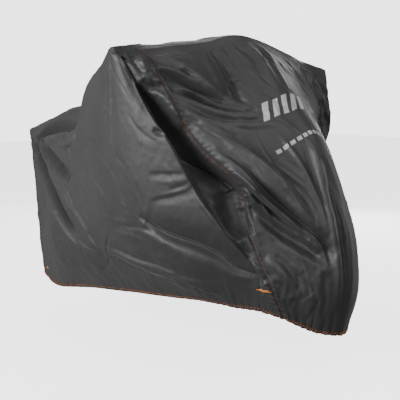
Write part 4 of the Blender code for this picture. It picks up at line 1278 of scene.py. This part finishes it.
# %% A finish under construction
class Finish:
    """The node tree of a new material, or of the world."""

    def __init__(self, name, owner=None):
        self.material = owner or bpy.data.materials.new(name)
        self.material.use_nodes = True
        self.tree = self.material.node_tree

    def node(self, kind, settings=None, values=None, output=0):
        """A new node. It gives one output, by its name or number."""
        made = self.tree.nodes.new(kind)
        for key, value in (settings or {}).items():
            setattr(made, key, value)
        for key, value in (values or {}).items():
            self.join(made.inputs[key], value)
        return Number(self, made.outputs[output])

    def join(self, socket, value):
        if isinstance(value, Number):
            self.tree.links.new(value.socket, socket)
        else:
            socket.default_value = value

    def set(self, shader="Principled BSDF", **values):
        for key, value in values.items():
            self.join(self.tree.nodes[shader].inputs[key.replace("_", " ")], value)

    def object_place(self):
        return self.node("ShaderNodeTexCoord", output="Object")

    def parts(self, vector):
        """The vector's X, Y and Z."""
        one = self.node("ShaderNodeSeparateXYZ", None, {0: vector})
        return [Number(self, output) for output in one.socket.node.outputs]

    def noise(self, vector, scale, detail, roughness=0.55, kind="FBM"):
        settings = {"noise_dimensions": "3D", "noise_type": kind}
        values = {"Vector": vector, "Scale": scale, "Detail": detail, "Roughness": roughness}
        return self.node("ShaderNodeTexNoise", settings, values)

    def blend(self, share, one, two):
        """Colours mixed: one where the share is 0, two where it is 1. Sockets 6, 7 and 2 are the colours."""
        return self.node("ShaderNodeMix", {"data_type": "RGBA"}, {"Factor": share, 6: one, 7: two}, 2)

    def bump(self, height, distance, strength, under=None):
        values = {"Height": height, "Distance": distance, "Strength": strength}
        if under is not None:
            values["Normal"] = under
        return self.node("ShaderNodeBump", None, values)


print("shader maths ready")

# %% [markdown]
# ## Coated cloth
#
# The cloth is a fine plain weave of charcoal nylon with a thin coating, so it has a satin sheen: it shines
# softly on ridges that face the light. Small creases from packing are too fine for the mesh, so a bump makes
# them. A weave on the cloth's own lengths, every 0.8 mm, makes the finest grain. The ridges are made a little
# smoother and painted a little paler, a painted sheen, and a little dust dulls what faces up.

# %% The cloth's finish
CLOTH_DARK, CLOTH_PALE = (0.0190, 0.0193, 0.0200, 1), (0.0300, 0.0304, 0.0312, 1)
# the first is the pale colour of both the dust on what faces up and the painted sheen on the ridges
DUST_AND_SHEEN, PRINT_GREY = (0.085, 0.082, 0.078, 1), (0.46, 0.46, 0.46, 1)
WEAVE_SIZE = 0.0008
CREASE_DEPTH, CRINKLE_DEPTH, WEAVE_DEPTH = 0.0020, 0.00035, 0.00006


def weave(finish, cut):
    """Threads over and under: two waves at right angles on the cloth's lengths."""
    u, v, _ = finish.parts(cut)
    turns = 2 * math.pi / WEAVE_SIZE
    return ((u * turns).sine() * (v * turns).sine()) * 0.5 + 0.5


def cloth_finish(name, print_mask=None):
    """The cloth's material, with a print where the mask is 1."""
    finish = Finish(name)
    place = finish.object_place()
    cut = finish.node("ShaderNodeUVMap", {"uv_map": "cut"})
    soft = finish.noise(place, 3.2, 4.0, 0.6)
    stain = finish.noise(place, 14.0, 5.0, 0.65)
    crease = finish.noise(place, 26.0, 3.0, 0.5, "RIDGED_MULTIFRACTAL")
    crinkle = finish.noise(place, 85.0, 2.0, 0.5, "RIDGED_MULTIFRACTAL")
    grain = finish.noise(place, 700.0, 2.0, 0.5)
    # the ridges' mask: they are painted paler, a painted sheen, and made a little smoother
    ridge = finish.node("ShaderNodeAttribute", {"attribute_name": "lift"}, output="Fac").between(0.001, 0.008)
    colour = finish.blend(soft.between(0.3, 0.72), CLOTH_DARK, CLOTH_PALE)
    facing_up = finish.parts(finish.node("ShaderNodeNewGeometry", output="Normal"))[2]
    dust = facing_up.between(0.35, 0.95) * stain.between(0.42, 0.75) * 0.16
    # painted sheen: the ridges are painted paler, mixed with real dust on what faces up, towards one pale
    # colour
    dust_and_sheen = (ridge * 0.10 + dust).clamped()
    colour = finish.blend(dust_and_sheen, colour, DUST_AND_SHEEN)
    colour = finish.blend(grain.between(0.35, 0.65) * 0.25, colour, CLOTH_DARK)
    roughness = 0.49 + soft * 0.08 + stain * 0.08 - ridge * 0.04
    if print_mask:
        mask = print_mask(finish, cut, stain)
        colour = finish.blend(mask, colour, PRINT_GREY)
        roughness = roughness + mask * 0.06
    bumped = finish.bump(crease, CREASE_DEPTH, 0.9)
    bumped = finish.bump(crinkle, CRINKLE_DEPTH, 0.6, bumped)
    bumped = finish.bump(weave(finish, cut), WEAVE_DEPTH, 0.5, bumped)
    finish.set(Base_Color=colour, Roughness=roughness, Metallic=0.0, Normal=bumped,
               Specular_IOR_Level=0.55, Sheen_Weight=0.10, Sheen_Roughness=0.45)
    return finish.material


plain_cloth = cloth_finish("coated_cloth")
print("the cloth's finish has", len(plain_cloth.node_tree.nodes), "nodes")

# %% [markdown]
# The front carries a pale print: a plain device of five slanted bars with a row of dashes under it. It is
# drawn on the cloth's lengths, so it bends with the folds, and it is worn through a little in patches.

# %% The print
def front_place(rib, level):
    """A place's lengths along and down the front panel's cloth."""
    column, row = abs(FRONT.ribs - rib).argmin(), abs(FRONT.levels - level).argmin()
    down = lengths_down(ring(FRONT.ribs, FRONT.levels))[column, row]
    return float(np.interp(rib, FRONT.ribs, lengths_along(FRONT.ribs))), float(down)


PRINT_AT, PRINT_END = front_place(11.35, 2.30), front_place(12.50, 2.36)
DASHES_AT = front_place(11.35, 2.88)
PRINT_TURN = math.atan2(PRINT_END[1] - PRINT_AT[1], PRINT_END[0] - PRINT_AT[0])
BAR_SPACING, BAR_SHARE, BAR_SLANT = 0.040, 0.29, 0.55  # a share is half of what the bar or dash fills
BARS_HALF_WIDTH, BARS_HALF_HEIGHT, BARS_SAG = 0.098, 0.042, 0.18
DASH_SPACING, DASH_SHARE = 0.026, 0.34
DASHES_HALF_WIDTH, DASHES_HALF_HEIGHT = 0.130, 0.0085


def device(finish, cut, worn):
    """1 on the print and 0 off it, and less where it is worn."""
    u, v, _ = finish.parts(cut)

    def about(at):
        """The distances along and down the print's own lines from a point of it."""
        du, dv = u - at[0], v - at[1]
        return (du * math.cos(PRINT_TURN) + dv * math.sin(PRINT_TURN),
                dv * math.cos(PRINT_TURN) - du * math.sin(PRINT_TURN))

    x, y = about(PRINT_AT)
    slanted = x + y * BAR_SLANT
    bars = ((slanted / BAR_SPACING + 0.5).fraction() - 0.5).absolute().below(BAR_SHARE)
    height = (y + x.absolute() * BARS_SAG).absolute()
    box = slanted.absolute().below(BARS_HALF_WIDTH) * height.below(BARS_HALF_HEIGHT)
    x, y = about(DASHES_AT)
    row = x.absolute().below(DASHES_HALF_WIDTH) * y.absolute().below(DASHES_HALF_HEIGHT)
    dashes = ((x / DASH_SPACING).fraction() - 0.5).absolute().below(DASH_SHARE) * row
    return (bars * box + dashes).clamped() * (0.62 + worn.between(0.30, 0.55) * 0.38)


front_cloth = cloth_finish("coated_cloth_front", device)
print("print at", [round(v, 3) for v in PRINT_AT], "metres along and down the front panel")

# %% [markdown]
# ## Thread and tape
#
# The thread is rust-coloured, twisted, and a little shiny. The tape round the lock holes is a plain orange
# grosgrain: fine ribs run across it.

# %% Thread and tape finishes
THREAD_DARK, THREAD_PALE = (0.10, 0.028, 0.010, 1), (0.26, 0.080, 0.024, 1)
HEM_THREAD_DARK, HEM_THREAD_PALE = (0.26, 0.060, 0.015, 1), (0.62, 0.185, 0.045, 1)
TAPE_DARK, TAPE_PALE = (0.52, 0.150, 0.030, 1), (0.78, 0.300, 0.075, 1)
TAPE_RIB = 0.0012


def thread_finish(name, dark, pale):
    finish = Finish(name)
    place = finish.object_place()
    shade, fibre = finish.noise(place, 45.0, 3.0), finish.noise(place, 1800.0, 2.0)
    colour = finish.blend(shade.between(0.35, 0.65), dark, pale)
    finish.set(Base_Color=colour, Roughness=0.5 + fibre * 0.2, Normal=finish.bump(fibre, 0.0002, 0.6))
    return finish.material


def tape_finish():
    finish = Finish("orange_tape")
    place = finish.object_place()
    shade = finish.noise(place, 60.0, 3.0)
    x, y, _ = finish.parts(place)
    ribs = ((x + y) * (2 * math.pi / TAPE_RIB)).sine() * 0.5 + 0.5
    colour = finish.blend(shade.between(0.35, 0.70), TAPE_DARK, TAPE_PALE)
    finish.set(Base_Color=colour, Roughness=0.6 + shade * 0.15, Normal=finish.bump(ribs, 0.00015, 0.6))
    return finish.material


def dressed(piece, material):
    piece.data.materials.clear()
    piece.data.materials.append(material)


thread = thread_finish("rust_thread", THREAD_DARK, THREAD_PALE)
hem_thread = thread_finish("orange_thread", HEM_THREAD_DARK, HEM_THREAD_PALE)
tape = tape_finish()
for piece in [*PANELS, *PATCHES]:
    dressed(piece, front_cloth if piece.name == "cloth_front_panel" else plain_cloth)
for piece in STITCHES:
    dressed(piece, hem_thread if "hem" in piece.name else thread)
for piece in BINDINGS:
    dressed(piece, tape)
print(len(PANELS), "panels,", len(PATCHES), "patches,", len(STITCHES), "rows of stitches")

# %% [markdown]
# ## Floor and light
#
# The cover stands over a plain pale floor. Two big soft lights on the camera's left give the side its satin
# grey, one behind on the right draws a bright edge down the nose, and the rest and the pale surroundings
# fill in. The surroundings are a little darker above, so that the folds keep their depth.

# %% The floor and the lights
WHITE = (1, 1, 1, 1)
LIGHTS = (  # name, place, where it looks, width, height, power
    ("key", (-2.0, -4.2, 0.4), (-0.2, 0.0, -0.45), 2.4, 1.4, 112),
    ("side", (-0.8, -4.5, 0.7), (-0.1, 0.0, -0.45), 2.2, 1.4, 186),
    ("fill", (3.9, -2.0, 1.7), (0.3, 0.0, -0.5), 2.6, 2.2, 84),
    ("rim", (2.2, 3.6, 0.5), (0.4, 0.1, -0.5), 1.2, 2.0, 45),
    ("back", (-3.2, 3.8, 0.5), (-0.3, 0.0, -0.5), 2.6, 2.0, 170),
    ("over", (0.9, -0.4, 3.2), (0.2, 0.0, -0.3), 3.0, 2.4, 30),
)
bpy.ops.object.select_all(action="DESELECT")
bpy.ops.mesh.primitive_plane_add(size=30, location=(0, 0, GROUND))
floor = bpy.context.object
floor.name = "floor"
pale = Finish("floor")
pale.set(Base_Color=(0.80, 0.80, 0.80, 1), Roughness=0.9, Emission_Color=WHITE, Emission_Strength=2.5)
dressed(floor, pale.material)
floor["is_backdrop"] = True
floor.visible_diffuse = floor.visible_glossy = False
for name, place, look_at, width, height, power in LIGHTS:
    bpy.ops.object.light_add(type="AREA", location=place)
    light = bpy.context.object
    light.name = name
    light.data.shape, light.data.size, light.data.size_y, light.data.energy = "RECTANGLE", width, height, power
    turned_to(light, Vector(look_at) - Vector(place))
print("floor at", GROUND, "and", len(LIGHTS), "lights")

# %% The surroundings
world = bpy.context.scene.world or bpy.data.worlds.new("studio")
bpy.context.scene.world = world
surroundings = Finish("studio", world)
height = surroundings.parts(surroundings.node("ShaderNodeTexCoord", output="Generated"))[2]
strength = 0.26 - height.between(-0.25, 0.15) * 0.08
lighting = surroundings.node("ShaderNodeBackground", None, {"Color": WHITE, "Strength": strength})
backdrop = surroundings.node("ShaderNodeBackground", None, {"Color": WHITE, "Strength": 3.2})
looked_at = surroundings.node("ShaderNodeLightPath")
both = surroundings.node("ShaderNodeMixShader", None, {0: looked_at, 1: lighting, 2: backdrop})
surroundings.set("World Output", Surface=both)
print("the surroundings have", len(world.node_tree.nodes), "nodes")

# %% [markdown]
# ## The size, and the end
#
# The visual model's box is printed beside the packed model's box. The visual model has to stay within the
# packed model's box, apart from a little that cloth may stand proud.

# %% Print the sizes
visual_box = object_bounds()
for name, box in (("CAD", cad_box), ("visual", visual_box)):
    print(name, "box", [[round(v, 3) for v in corner] for corner in box])
